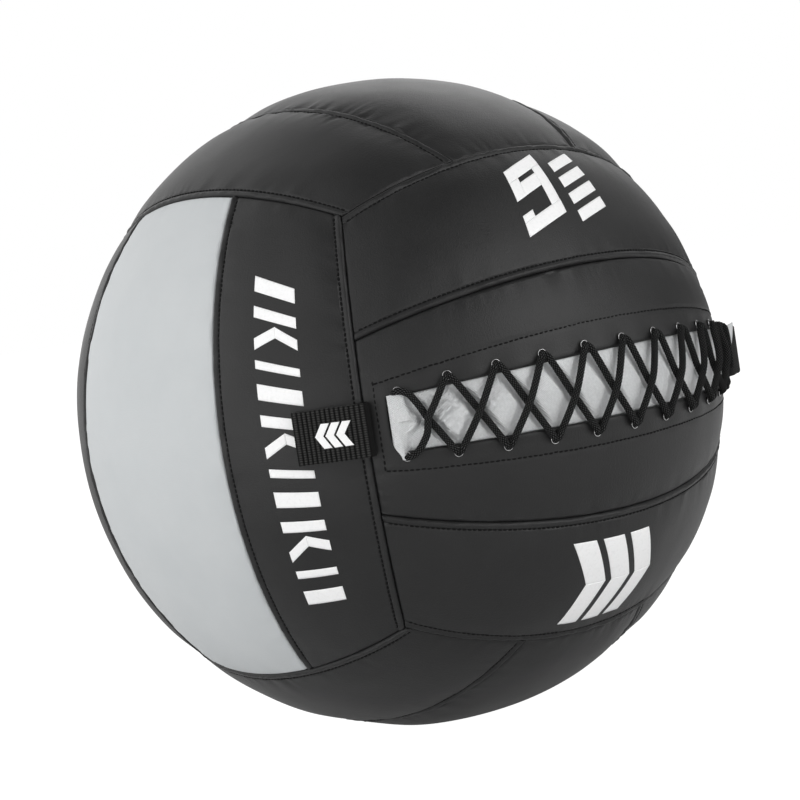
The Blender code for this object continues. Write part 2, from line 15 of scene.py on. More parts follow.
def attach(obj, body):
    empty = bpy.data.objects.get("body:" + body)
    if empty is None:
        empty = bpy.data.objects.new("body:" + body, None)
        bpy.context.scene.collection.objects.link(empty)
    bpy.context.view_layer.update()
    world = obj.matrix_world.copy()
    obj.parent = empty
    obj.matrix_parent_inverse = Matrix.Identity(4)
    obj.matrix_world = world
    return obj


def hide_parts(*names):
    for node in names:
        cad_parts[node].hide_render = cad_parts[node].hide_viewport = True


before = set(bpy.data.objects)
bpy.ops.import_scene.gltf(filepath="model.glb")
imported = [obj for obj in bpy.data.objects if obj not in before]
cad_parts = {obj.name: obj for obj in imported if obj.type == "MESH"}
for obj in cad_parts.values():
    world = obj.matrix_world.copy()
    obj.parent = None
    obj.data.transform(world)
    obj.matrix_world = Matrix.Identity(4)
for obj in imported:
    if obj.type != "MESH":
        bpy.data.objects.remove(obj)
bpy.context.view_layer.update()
MM = 0.001

# Sizes that the solids have too
BALL_RADIUS = 175
SEAM_DIP = 2.8
CROWN_ROLL = 26
CROWN_POWER = 2.2
MIDDLE_STRIP_SHARE = 0.372
MIDDLE_STRIP_END_SHARE = 0.345
CLOSURE_RISE = 1.2
SLOT_HALF_WIDTH = 17.0
SLOT_HALF_LENGTH = 126
EYELET_ROW_OFFSET = 21.3
EYELET_SPACING = 24.1
EYELETS_PER_ROW = 11
LACE_RADIUS = 1.7
WEBBING_WIDTH = 25
WEBBING = 1.3
WEBBING_SLIT = 0.6
TAB_LENGTH = 32
TAB_AXIS_HEIGHT = 2.0
TAB_ROOT_DEPTH = 3.7
REST_FLAT_DEPTH = 0.5

CENTRE = np.array((0, 0, BALL_RADIUS - REST_FLAT_DEPTH))
UP = np.array((0, 0, 1.0))

# Each face of the ball: its direction, the direction of its strips, and the strips' names across it
FACES = {
    "front": ((0, -1, 0), (1, 0, 0), ("lower", "middle", "upper")),
    "back": ((0, 1, 0), (-1, 0, 0), ("lower", "middle", "upper")),
    "left": ((-1, 0, 0), (0, 0, 1), ("front", "middle", "back")),
    "right": ((1, 0, 0), (0, 0, 1), ("back", "middle", "front")),
    "top": ((0, 0, 1), (0, 1, 0), ("right", "middle", "left")),
    "bottom": ((0, 0, -1), (0, 1, 0), ("left", "middle", "right")),
}


# Noise and simple curves


def lattice(ix, iy, seed):
    """Repeatable value from -1 to 1 for each pair of whole numbers."""
    n = (ix.astype(np.int64) * 374761393 + iy.astype(np.int64) * 668265263 + seed * 1442695041) & 0x7FFFFFFF
    n = ((n ^ (n >> 13)) * 1274126177) & 0x7FFFFFFF
    n = n ^ (n >> 16)
    return (n & 0xFFFFF) / 524287.5 - 1.0


def noise(x, y, seed):
    """Smooth noise from -1 to 1."""
    x0, y0 = np.floor(x), np.floor(y)
    fx, fy = (f * f * f * (f * (f * 6 - 15) + 10) for f in (x - x0, y - y0))
    a, b = lattice(x0, y0, seed), lattice(x0 + 1, y0, seed)
    c, d = lattice(x0, y0 + 1, seed), lattice(x0 + 1, y0 + 1, seed)
    return (a + (b - a) * fx) * (1 - fy) + (c + (d - c) * fx) * fy


def bell(distance, width):
    return np.exp(-(distance / width) ** 2)


def ease(value, low, high):
    share = np.clip((value - low) / (high - low), 0, 1)
    return share * share * (3 - 2 * share)


def unit(v):
    return v / np.linalg.norm(v, axis=-1, keepdims=True)


def run_along(path):
    """Distance of each point of a path from its start."""
    return np.concatenate([[0], np.cumsum(np.linalg.norm(np.diff(path, axis=0), axis=1))])


def points_at(at, run, path):
    return np.stack([np.interp(at, run, column) for column in path.T], 1)


def turns(count):
    """Even turns round a circle."""
    return np.arange(count) * 2 * pi / count


# Surface of the ball

SHOWN_DIP = 1.7
SEAM_HOLLOW = 0.7
LIP_HEIGHT = 0.75
STITCH_GROOVE = 0.4
STITCH_FROM_SEAM = 3.9
PLAIN_SEAM_CLEAR = 0.6
PUCKER_HEIGHT = 0.7
GATHERED_HEIGHT = 0.6
PUCKER_STRAY = 3.0
RIPPLE_HEIGHT = 0.3
RIPPLE_PITCH = 4.1
LUMP_HEIGHT = 0.55
DENT_HEIGHT = 0.12
CALM_REACH = 14
LACE_PULL = 0.3
SLOT_STITCH_END = 131.5
SLOT_EDGE_PLACES = (-126, -106, -60, 0, 60, 126)
SLOT_UPPER_EDGE = (15.6, 15.9, 16.6, 17.3, 17.8, 18.0)
SLOT_LOWER_EDGE = (18.7, 17.2, 15.7, 15.0, 15.3, 16.4)
FACE_SEEDS = {name: 11 + 7 * i for i, name in enumerate(FACES)}
# Gathers that show in the photo: face, place along and across it, reach, strength, strips
GATHERS = (
    ("front", -14, 56, 38, 2.1, (0,)),
    ("front", -110, -52, 30, 0.9, (-1, 0, 1)),
    ("top", -70, 62, 48, 1.8, (-1, 0, 1)),
    ("bottom", -105, 10, 40, 1.7, (-1, 0, 1)),
    ("left", 95, -62, 30, 0.8, (-1, 0, 1)),
)


def strip_edge(u):
    """Where the seams of the middle strip lie across a face."""
    u = np.minimum(np.abs(u), 1)
    return MIDDLE_STRIP_END_SHARE + (MIDDLE_STRIP_SHARE - MIDDLE_STRIP_END_SHARE) * (1 - u * u)


def roll(distance):
    return 1 - (1 - np.clip(distance / CROWN_ROLL, 0, 1)) ** CROWN_POWER


def stitched_edge(d, tuck):
    """Height of the folded lip, its stitch line and the hollow of the seam, at a distance from the seam."""
    lip = ease(d, 0.1, 1.35) * (1 - ease(d, 1.5, 3.9)) * tuck
    return LIP_HEIGHT * lip - SEAM_HOLLOW * bell(d, 0.3) - STITCH_GROOVE * bell(d - STITCH_FROM_SEAM, 0.5)


def plain_edge(d):
    return -SEAM_HOLLOW * bell(d, 0.3) - 0.25 * bell(d, 1.1)


def slot_stitch_offset(along, side):
    """Offset of the stitch line above or below the slot."""
    share = along / SLOT_HALF_LENGTH
    if side > 0:
        return 32.4 - np.where(share > 0, 3.2, 5.6) * share * share
    return -27.8 - 2.4 * share * share


def slot_edge(along, side):
    """Distance of the slot's edge from its middle line. The lace pulls it a little out of true."""
    return np.where(side > 0, np.interp(along, SLOT_EDGE_PLACES, SLOT_UPPER_EDGE),
                    np.interp(along, SLOT_EDGE_PLACES, SLOT_LOWER_EDGE))


def slot_slant(along, flat):
    """How far the lower left corner of the slot is drawn in."""
    near = np.clip(1 - np.abs(along + SLOT_HALF_LENGTH) / 9, 0, 1)
    return 4.2 * near * ease(-flat, 9, 19) * (1 - ease(-flat, 22, 30))


def pucker(along, away, shift, seed):
    """Small creases square to a seam, fading away from it."""
    fine = noise(along / 3.6, away / 26 + shift, seed)
    broad = noise(along / 10, away / 40 + shift, seed + 40)
    return (1 - bell(away, 0.7)) * (0.5 * fine * np.exp(-away / 4.2) + 0.42 * broad * np.exp(-away / 10))


def ripples(along, away, seed):
    """A run of nearly even gathers beside a seam."""
    place = along + 1.6 * noise(along / 8, away / 30, seed)
    swell = 0.55 + 0.45 * noise(along / 11, 0 * away, seed + 1)
    wave = np.sin(2 * pi * place / RIPPLE_PITCH)
    return RIPPLE_HEIGHT * swell * wave * (1 - bell(away, 0.7)) * np.exp(-away / 6)


def seam_distances(u, w):
    """Length of the ray through a cube face, and distances to the end, strip and outer seams."""
    length = np.sqrt(1 + u * u + w * w)
    edge = strip_edge(u)
    gaps = ((1 - np.abs(u), sqrt(2)), (np.abs(np.abs(w) - edge), np.sqrt(1 + edge * edge)),
            (1 - np.abs(w), sqrt(2)))
    return length, *(BALL_RADIUS * np.arcsin(np.clip(gap, 0, 1) / slope / length) for gap, slope in gaps)


def on_ray(face, u, w, length, radius):
    """Points on the rays through a cube face, at a distance from the ball's centre."""
    normal, axis = np.array(FACES[face][:2], float)
    direction = (normal + u[..., None] * axis + w[..., None] * np.cross(normal, axis)) / length[..., None]
    return CENTRE + direction * radius[..., None]


def surface(face, u, w, height=0.0):
    """Points of the finished skin on a cube face. u runs along the strips and w across them."""
    u, w = np.broadcast_arrays(np.asarray(u, float), np.asarray(w, float))
    length, to_end, to_strip, to_out = seam_distances(u, w)
    outer = np.abs(w) > strip_edge(u)
    rise = roll(to_end) * roll(to_strip) * np.where(outer, roll(to_out), 1)
    along, across = BALL_RADIUS * np.arctan(u), BALL_RADIUS * np.arctan(w)
    strip = np.where(outer, np.sign(w), 0).astype(int)
    seed = FACE_SEEDS[face]
    tuck = (1 + 0.45 * noise(along / 3.3, 2.7 * strip, seed + 12)
            + 0.25 * noise(along / 9, 1.9 * strip, seed + 13))
    detail = plain_edge(to_end) + np.where(
        outer, stitched_edge(to_strip, tuck) + stitched_edge(to_out, tuck), plain_edge(to_strip))
    gathered = np.zeros(u.shape)
    for place_face, at_along, at_across, reach, gain, strips in GATHERS:
        if place_face == face:
            near = bell(np.hypot(along - at_along, across - at_across), reach)
            gathered += gain * near * np.isin(strip, strips)
    warp = PUCKER_STRAY * noise(along / 19, across / 17, seed + 3)
    clear = np.where(outer, STITCH_FROM_SEAM, PLAIN_SEAM_CLEAR)
    from_strip, from_out = np.maximum(to_strip - clear, 0), np.maximum(to_out - clear, 0)
    inner_puckers = pucker(along + warp, from_strip, 9.3 * strip, seed + 1)
    outer_puckers = np.where(outer, pucker(along + warp, from_out, 4.1 * strip, seed + 5), 0)
    end_puckers = pucker(across + warp, np.maximum(to_end - PLAIN_SEAM_CLEAR, 0), 3.7 * np.sign(u), seed + 8)
    detail += ((PUCKER_HEIGHT + GATHERED_HEIGHT * gathered)
               * (inner_puckers + 0.9 * outer_puckers + end_puckers))
    detail += gathered * ripples(along, from_strip, seed + 15)
    side_id = strip * 5 + seed
    lumps = noise(along / 52 + 3.3 * side_id, across / 44 + 1.7 * side_id, seed + 2)
    dents = noise(along / 23 + 1.1 * side_id, across / 21, seed + 6)
    from_seams = np.minimum(np.minimum(to_end, to_strip), np.where(outer, to_out, to_strip))
    detail += np.clip(from_seams / CALM_REACH, 0, 1) * (LUMP_HEIGHT * lumps + DENT_HEIGHT * dents)
    if face == "front":
        detail += np.where(outer, 0, closure_detail(along, w))
    if face == "bottom":
        flat_radius = sqrt(2 * BALL_RADIUS * REST_FLAT_DEPTH)
        detail = detail * np.clip(np.hypot(along, across) / (3 * flat_radius), 0, 1) ** 2
    points = on_ray(face, u, w, length, BALL_RADIUS - SHOWN_DIP * (1 - rise) + detail + height)
    points[..., 2] = np.maximum(points[..., 2], 0.0)
    return points


def closure_detail(along, w):
    """Rolled edge of the slot, stitch line round it and the soft creases that the lace pulls."""
    flat = BALL_RADIUS * w - CLOSURE_RISE
    lean = np.cos(along / BALL_RADIUS)
    beyond_end = np.abs(along - slot_slant(along, flat)) - SLOT_HALF_LENGTH
    beyond_side = (np.abs(flat) - slot_edge(along, flat)) * lean
    gap = np.where(beyond_end > 0, np.hypot(beyond_end, np.maximum(beyond_side, 0)), beyond_side)
    rolled = 0.25 * bell(gap - 2, 1.6) - SEAM_HOLLOW * bell(np.maximum(gap, 0), 0.5)
    upper, lower = slot_stitch_offset(along, 1), slot_stitch_offset(along, -1)
    groove = bell(np.abs(along) - SLOT_STITCH_END, 0.7) * ((flat < upper) & (flat > lower))
    for line in (upper, lower):
        groove += bell((flat - line) * lean, 0.7) * (np.abs(along) < SLOT_STITCH_END)
    row = bell(np.abs(flat) - EYELET_ROW_OFFSET, 7) * (np.abs(along) < SLOT_HALF_LENGTH)
    return rolled - STITCH_GROOVE * groove - LACE_PULL * np.cos(2 * pi * along / EYELET_SPACING) * row


def on_front(along, offset, height=0.0):
    """Smooth point over the laced panel, as the solids have it."""
    along, offset = np.asarray(along, float), np.asarray(offset, float)
    u, w = np.tan(along / BALL_RADIUS), (offset + CLOSURE_RISE) / BALL_RADIUS
    length, to_end, to_strip, _ = seam_distances(u, w)
    dip = SEAM_DIP * (1 - roll(to_end) * roll(to_strip))
    return on_ray("front", u, w, length, BALL_RADIUS - dip + height)


# Mesh helpers


def add_piece(mesh, mat, slot, replaces=(), body="ball"):
    mesh.shade_smooth()
    mesh.materials.append(mat)
    obj = bpy.data.objects.new(mesh.name, mesh)
    bpy.context.scene.collection.objects.link(obj)
    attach(obj, body)
    if replaces:
        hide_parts(*replaces)
    return obj


def mesh_piece(name, verts, faces, mat, slot, replaces=(), body="ball", uv=None):
    """A piece from points in millimetres. Its UV is the place on the flat cloth or cord, in metres."""
    mesh = bpy.data.meshes.new(name)
    mesh.from_pydata((np.asarray(verts).reshape(-1, 3) * MM).tolist(), [], faces)
    mesh.validate()
    if uv is not None:
        corners = np.empty(len(mesh.loops), np.int32)
        mesh.loops.foreach_get("vertex_index", corners)
        layer = mesh.uv_layers.new(name="cut")
        layer.data.foreach_set("uv", uv.reshape(-1, 2)[corners].astype(np.float32).ravel())
    return add_piece(mesh, mat, slot, replaces, body)


def thicken(obj, thickness, offset=-1):
    shell = obj.modifiers.new("thickness", "SOLIDIFY")
    shell.thickness = thickness * MM
    shell.offset = offset


def grid_faces(rows, columns, keep=None, flip=False):
    faces = []
    for i in range(rows - 1):
        for j in range(columns - 1):
            if keep is None or keep[i, j]:
                a, b = i * columns + j, i * columns + j + 1
                quad = (a, a + columns, b + columns, b)
                faces.append(quad[::-1] if flip else quad)
    return faces


def tube_faces(rings, around, closed=False):
    """Faces of a tube made of rings. Its ends are capped, or joined to each other if it is closed."""
    faces = []
    for i in range(rings if closed else rings - 1):
        here, there = i * around, (i + 1) % rings * around
        for j in range(around):
            k = (j + 1) % around
            faces.append((here + j, here + k, there + k, there + j))
    if not closed:
        faces += [tuple(range(around))[::-1], tuple(range((rings - 1) * around, rings * around))]
    return faces


def spread(low, high, fine, step):
    """Positions from low to high with the fine distances kept at both ends and even steps between."""
    start, end = low + fine[-1], high - fine[-1]
    count = max(2, int(round((end - start) / step)))
    middle = [start + (end - start) * i / count for i in range(1, count)]
    return np.array([low + f for f in fine] + middle + [high - f for f in fine[::-1]])


# Materials


def join(tree, value, socket):
    """Links an output to a socket, or gives the socket a plain value."""
    if isinstance(value, bpy.types.NodeSocket):
        tree.links.new(value, socket)
    else:
        socket.default_value = value


def node(tree, kind, *inputs, out=0, **values):
    """Adds a node and returns one of its outputs. Inputs are in order, and values are settings or inputs."""
    made = tree.nodes.new(f"ShaderNode{kind}")
    sockets = dict(enumerate(inputs))
    for key, value in values.items():
        if hasattr(made, key):
            setattr(made, key, value)
        else:
            sockets[key.replace("_", " ")] = value
    for key, value in sockets.items():
        join(tree, value, made.inputs[key])
    return made.outputs[out]


def maths(tree, operation, *inputs):
    return node(tree, "Math", *inputs, operation=operation)


def coords(tree, kind="Object"):
    return node(tree, "TexCoord", out=kind)


def ramp(tree, source, *stops):
    """Colours that change from the first stop, a position and a colour, to the second."""
    made = tree.nodes.new("ShaderNodeValToRGB")
    for i, (position, colour) in enumerate(stops):
        made.color_ramp.elements[i].position = position
        made.color_ramp.elements[i].color = (*colour, 1)
    tree.links.new(source, made.inputs[0])
    return made.outputs[0]


def bump(tree, height, strength, distance):
    return node(tree, "Bump", Strength=strength, Distance=distance, Height=height)


def dressed(mat, **values):
    """Sets or links inputs of the material's shader."""
    shader = mat.node_tree.nodes["Principled BSDF"]
    for key, value in values.items():
        join(mat.node_tree, value, shader.inputs[key.replace("_", " ")])
    return mat


def new_material(name, colour, roughness, **values):
    mat = bpy.data.materials.new(name)
    mat.use_nodes = True
    dressed(mat, Base_Color=(*colour, 1), Roughness=roughness, **values)
    return mat, mat.node_tree


def grey(value):
    return (value, value, value)


def coated_cloth(name, colour, worn, roughness, grain_depth):
    """Coated cloth: pebbled grain, slow changes of tone and a little uneven gloss."""
    mat, tree = new_material(name, colour, roughness, Specular_IOR_Level=0.31)
    place = coords(tree)
    pebble = node(tree, "TexVoronoi", place, feature="SMOOTH_F1", Scale=1150.0, Smoothness=0.6)
    grain = maths(tree, "ADD", pebble, node(tree, "TexNoise", place, Scale=2600.0, Detail=2.0))
    for share, stretch in ((0.9, (2400.0, 120.0, 1.0)), (0.45, (110.0, 2100.0, 1.0))):
        threads = node(tree, "Mapping", coords(tree, "UV"), Scale=stretch)
        lines = node(tree, "TexNoise", threads, Scale=1.0, Detail=1.0)
        grain = maths(tree, "MULTIPLY_ADD", lines, share, grain)
    broad = node(tree, "TexNoise", place, Scale=26.0, Detail=4.0, Roughness=0.6)
    return dressed(mat, Base_Color=ramp(tree, broad, (0.3, colour), (0.75, worn)),
                   Roughness=node(tree, "MapRange", broad, To_Min=roughness - 0.05, To_Max=roughness + 0.07),
                   Normal=bump(tree, grain, grain_depth, 0.00016))


def woven_cloth(name, colour, shade, scale, depth, roughness, sheen, metallic=0.0):
    """Fine diagonal weave with a sheen."""
    mat, tree = new_material(name, colour, roughness, Specular_IOR_Level=0.5, Sheen_Weight=sheen,
                             Metallic=metallic)
    place = coords(tree)
    turned = node(tree, "Mapping", place, Rotation=(0, radians(42), 0))
    weave = [node(tree, "TexWave", turned, out="Fac", bands_direction=way, Scale=scale, Distortion=0.6,
                  Detail=1.0) for way in "XZ"]
    speck = node(tree, "TexNoise", place, Scale=900.0, Detail=3.0)
    return dressed(mat, Base_Color=ramp(tree, speck, (0.35, shade), (0.65, colour)),
                   Normal=bump(tree, maths(tree, "MULTIPLY", *weave), depth, 0.0002))


def fibres(tree, scale):
    return node(tree, "TexNoise", coords(tree), Scale=scale, Detail=3.0, Roughness=0.7)


def yarn(name, colour, shade, scale, roughness):
    """Matt yarn with a fine fibre grain."""
    mat, tree = new_material(name, colour, roughness, Specular_IOR_Level=0.2)
    fibre = fibres(tree, scale)
    return dressed(mat, Base_Color=ramp(tree, fibre, (0.38, shade), (0.66, colour)),
                   Normal=bump(tree, fibre, 0.5, 0.0002))


def printed(name, white):
    """Screen print: nearly flat, with faint gaps where the grain shows through."""
    mat, tree = new_material(name, grey(white), 0.5, Specular_IOR_Level=0.35)
    fleck = node(tree, "TexNoise", coords(tree), Scale=700.0, Detail=3.0)
    return dressed(mat, Base_Color=ramp(tree, fleck, (0.3, grey(0.95 * white)), (0.5, grey(white))))


BRAID_PITCH = 3.4
# Waves round the cord
BRAID_STRANDS = 4


def braided_yarn():
    """Cord yarn: strands that cross both ways, from the distance along the cord and the turn round it. Its
    colour follows the strands' relief: painted shade in the hollows between them, painted highlight on their
    crowns.
    """
    mat, tree = new_material("black_lace_yarn", grey(0.012), 0.8, Specular_IOR_Level=0.1)
    along, round_it = (node(tree, "SeparateXYZ", coords(tree, "UV"), out=axis) for axis in "XY")
    turn = maths(tree, "MULTIPLY", round_it, BRAID_STRANDS)
    strands = []
    for sign in (1, -1):
        run = maths(tree, "MULTIPLY", along, sign * 2 * pi / (BRAID_PITCH * MM))
        strands.append(maths(tree, "SINE", maths(tree, "ADD", run, turn)))
    over = maths(tree, "ABSOLUTE", maths(tree, "MULTIPLY", *strands))
    fibre = node(tree, "TexNoise", coords(tree), Scale=2600.0, Detail=2.0)
    height = maths(tree, "ADD", over, maths(tree, "MULTIPLY", fibre, 0.35))
    # The colour follows the relief: painted shade in the hollows, painted highlight on the strand crowns
    return dressed(mat, Base_Color=ramp(tree, height, (0.45, grey(0.0015)), (1.0, (0.06, 0.061, 0.061))),
                   Normal=bump(tree, height, 1.0, 0.0005))


RIB_PITCH = 2.35
RIB_WEAVE = 1.1


def webbing_yarn():
    """Webbing: ribs across it, coloured from their relief: lighter wherever a thread comes up, a painted
    highlight, and darker in the grooves between them, painted shade.
    """
    mat, tree = new_material("black_webbing_yarn", grey(0.012), 0.85, Specular_IOR_Level=0.2)

    def waves(axis, pitch):
        place = node(tree, "SeparateXYZ", coords(tree, "UV"), out=axis)
        return maths(tree, "ABSOLUTE", maths(tree, "SINE", maths(tree, "MULTIPLY", place, pi / (pitch * MM))))
    share = maths(tree, "MULTIPLY_ADD", waves("Y", RIB_WEAVE), 0.75, 0.1)
    rough = maths(tree, "MULTIPLY_ADD", fibres(tree, 1500.0), 0.5, share)
    height = maths(tree, "MULTIPLY", rough, waves("X", RIB_PITCH))
    # The colour follows the relief: painted shade in the grooves, painted highlight on the raised threads
    return dressed(mat, Base_Color=ramp(tree, height, (0.3, grey(0.002)), (1.0, (0.042, 0.042, 0.041))),
                   Normal=bump(tree, height, 1.0, 0.0004))


def nickel_plate():
    mat, tree = new_material("nickel_plate", grey(0.45), 0.25, Metallic=1.0)
    scuff = node(tree, "TexNoise", coords(tree), Scale=1300.0, Detail=2.0)
    return dressed(mat, Roughness=node(tree, "MapRange", scuff, To_Min=0.12, To_Max=0.34))


BLACK_SKIN = coated_cloth("black_coated_cloth", (0.0135, 0.0135, 0.0137), (0.0172, 0.0172, 0.0174), 0.4, 0.4)
SILVER_SKIN = coated_cloth("silver_coated_cloth", (0.53, 0.553, 0.563), (0.565, 0.585, 0.593), 0.45, 0.22)
SILVER_CLOTH = woven_cloth("silver_tongue_cloth", (0.69, 0.702, 0.707), (0.62, 0.63, 0.635),
                           420.0, 1.0, 0.36, 0.2, 0.6)
THREAD = yarn("black_thread", grey(0.006), grey(0.003), 1500.0, 0.8)
PRINT = printed("white_print", 0.96)
LACE_YARN = braided_yarn()
WEBBING_YARN = webbing_yarn()
NICKEL = nickel_plate()


# Panels

# Distances from a seam at which a panel has a row of points
FINE_ENDS = [0, 0.25, 0.55, 0.9, 1.4, 2.0, 2.8, 3.8, 5.2, 7.0, 9.0]
FINE_SIDES = [0, 0.25, 0.5, 0.8, 1.15, 1.5, 1.9, 2.3, 2.7, 3.1, 3.4, 3.65, 3.9, 4.15, 4.4, 4.75,
              5.2, 5.8, 6.6, 7.8, 9.2]
PANEL_STEP = 2.1
SLOT_PANEL_STEP = 1.5
# Rows of points past each end of the slot, with no other row nearer than SLOT_END_CLEAR
SLOT_END_ROWS = (-1.5, 0, 0.4, 0.9, 1.6)
SLOT_END_CLEAR = 2.2
EDGE_GAP = 0.05
TURNED_DEPTH = 3.5
SKIN_SHOWN = 1.6


def turn_in(points):
    """Adds a row of points below each border of a grid, where the cloth turns in at its seam."""
    def deeper(row):
        return row - TURNED_DEPTH * unit(row - CENTRE)
    points = np.concatenate([deeper(points[:1]), points, deeper(points[-1:])], 0)
    first, last = points[:, :1].copy(), points[:, -1:].copy()
    first[1:-1], last[1:-1] = deeper(first[1:-1]), deeper(last[1:-1])
    return np.concatenate([first, points, last], 1)


def slot_panel_grid(along):
    """Places along the laced panel, u and w of its points, and the cells that the slot leaves."""
    half = spread(SLOT_HALF_WIDTH, BALL_RADIUS * MIDDLE_STRIP_SHARE, FINE_SIDES[:9], SLOT_PANEL_STEP)
    rows = np.concatenate([-half[::-1], (-SLOT_HALF_WIDTH / 2, SLOT_HALF_WIDTH / 2), half])
    stretch = (np.abs(rows) - SLOT_HALF_WIDTH) / (half[-1] - SLOT_HALF_WIDTH)
    near_ends = [side * (SLOT_HALF_LENGTH + row) for side in (-1, 1) for row in SLOT_END_ROWS]
    clear = np.abs(np.abs(along) - SLOT_HALF_LENGTH) > SLOT_END_CLEAR
    along = np.unique(np.concatenate([along[clear], near_ends]))
    column = along[:, None]
    reach = BALL_RADIUS * strip_edge(np.tan(column / BALL_RADIUS)) - EDGE_GAP - np.sign(rows) * CLOSURE_RISE
    hole_edge = slot_edge(column, rows)
    flat = np.where(stretch >= 0, hole_edge + (reach - hole_edge) * stretch, np.abs(rows)) * np.sign(rows)
    u = np.tan((column + slot_slant(column, flat)) / BALL_RADIUS)
    middle_along, middle_rows = (np.abs(places[1:] + places[:-1]) / 2 for places in (along, rows))
    keep = (middle_along[:, None] >= SLOT_HALF_LENGTH) | (middle_rows >= SLOT_HALF_WIDTH)
    return along, u, (flat + CLOSURE_RISE) / BALL_RADIUS, np.pad(keep, 1, constant_values=True)


def panel(face, strip, name):
    limit, gap = BALL_RADIUS * pi / 4 - EDGE_GAP, EDGE_GAP / BALL_RADIUS
    along = spread(-limit, limit, FINE_ENDS, PANEL_STEP)
    u = np.tan(along / BALL_RADIUS)[:, None]
    keep = None
    if strip:
        across = spread(0, BALL_RADIUS * (pi / 4 - np.arctan(MIDDLE_STRIP_SHARE)), FINE_SIDES, PANEL_STEP)
        inner = np.arctan(strip_edge(u)) + gap
        w = np.tan(inner + (limit / BALL_RADIUS - inner) * across / across[-1]) * strip
    elif name == "front_middle_panel":
        along, u, w, keep = slot_panel_grid(along)
    else:
        half = BALL_RADIUS * MIDDLE_STRIP_SHARE
        w = np.tan(spread(-half, half, FINE_ENDS, PANEL_STEP) / half * (np.arctan(strip_edge(u)) - gap))
    points = turn_in(surface(face, u, w))
    cut = np.stack([along[:, None] * np.ones_like(w), BALL_RADIUS * np.arctan(w)], -1)
    cut = np.pad(cut, ((1, 1), (1, 1), (0, 0)), mode="edge")
    mat, slot = (SILVER_SKIN, "silver_skin") if name == "left_middle_panel" else (BLACK_SKIN, "black_skin")
    obj = mesh_piece(f"{name}_skin", points, grid_faces(*points.shape[:2], keep, strip < 0), mat, slot,
                     (name,), uv=cut * MM)
    thicken(obj, SKIN_SHOWN)


def make_panels():
    for face, (_, _, places) in FACES.items():
        for strip, place in zip((-1, 0, 1), places):
            panel(face, strip, f"{face}_{place}_panel")


# Stitches

SEAM_PITCH = 2.5
SLOT_PITCH = 2.7
STITCH_SHARE = 0.8
STITCH_RADIUS = 0.45
STITCH_STRAY = 0.16
STITCH_SIDES = 6
# How far the first and last stitch of a seam stay from its corners
CORNER_CLEAR = 2.5
# Rings of a stitch: share of its length, share of its radius
STITCH_RINGS = ((0.0, 0.35), (0.12, 0.85), (0.5, 1.0), (0.88, 0.85), (1.0, 0.35))


def stitch_ends(path, pitch):
    """Starts and ends of the stitches along a fine line of points."""
    run = run_along(path)
    count = int(run[-1] / pitch)
    at = (np.arange(count) + 0.5) * run[-1] / count
    return [points_at(at + side * STITCH_SHARE * pitch / 2, run, path) for side in (-1, 1)]


def stitch_paths():
    """Pitch and fine line of each row of stitches: the long edges of each outer strip, and the slot."""
    u = np.tan(np.linspace(-1, 1, 241) * (pi / 4 - CORNER_CLEAR / BALL_RADIUS))
    edge, gap = strip_edge(u), STITCH_FROM_SEAM / BALL_RADIUS
    slope = 1 + edge ** 2
    inner = edge + gap * slope * np.sqrt(1 + u * u / slope)
    outer = 1 - 2 * gap * np.sqrt(1 + u * u / 2)
    for face in FACES:
        for side in (-1, 1):
            yield SEAM_PITCH, surface(face, u, side * inner)
            yield SEAM_PITCH, surface(face, u, side * outer)
    end = SLOT_STITCH_END
    along = np.linspace(-end, end, 241)
    lines = [(along, slot_stitch_offset(along, side)) for side in (1, -1)]
    offset = np.linspace(slot_stitch_offset(end, -1), slot_stitch_offset(end, 1), 61)
    lines += [(side * end + 0 * offset, offset) for side in (-1, 1)]
    for along, offset in lines:
        yield SLOT_PITCH, surface("front", np.tan(along / BALL_RADIUS), (offset + CLOSURE_RISE) / BALL_RADIUS)


def make_stitches():
    """Short tubes of thread along every row, each a little off its line."""
    stitch = [face[:1] + face[:0:-1] for face in tube_faces(len(STITCH_RINGS), STITCH_SIDES)]
    verts, faces = [], []
    for pitch, path in stitch_paths():
        starts, ends = stitch_ends(path, pitch)
        count = 2 * len(starts)
        stray = STITCH_STRAY * lattice(np.arange(count), np.full(count, len(verts)), 91).reshape(-1, 2)
        for start, end, (from_line, to_line) in zip(starts, ends, stray):
            run, out = unit(end - start), unit((start + end) / 2 - CENTRE)
            side = np.cross(run, out)
            start, end = start + from_line * side, end + to_line * side
            faces += [tuple(len(verts) + i for i in face) for face in stitch]
            for share, size in STITCH_RINGS:
                middle = start + (end - start) * share + out * (0.02 + 0.16 * sin(pi * share))
                verts += [middle + STITCH_RADIUS * size * (cos(t) * side + sin(t) * out)
                          for t in turns(STITCH_SIDES)]
    mesh_piece("seam_stitches", verts, faces, THREAD, "black_skin")


# Tongue

TONGUE_HALF_LENGTH = 129.5
TONGUE_SHOWN = 0.9
TONGUE_SUNK = -2.2
TONGUE_LAP = 1.4
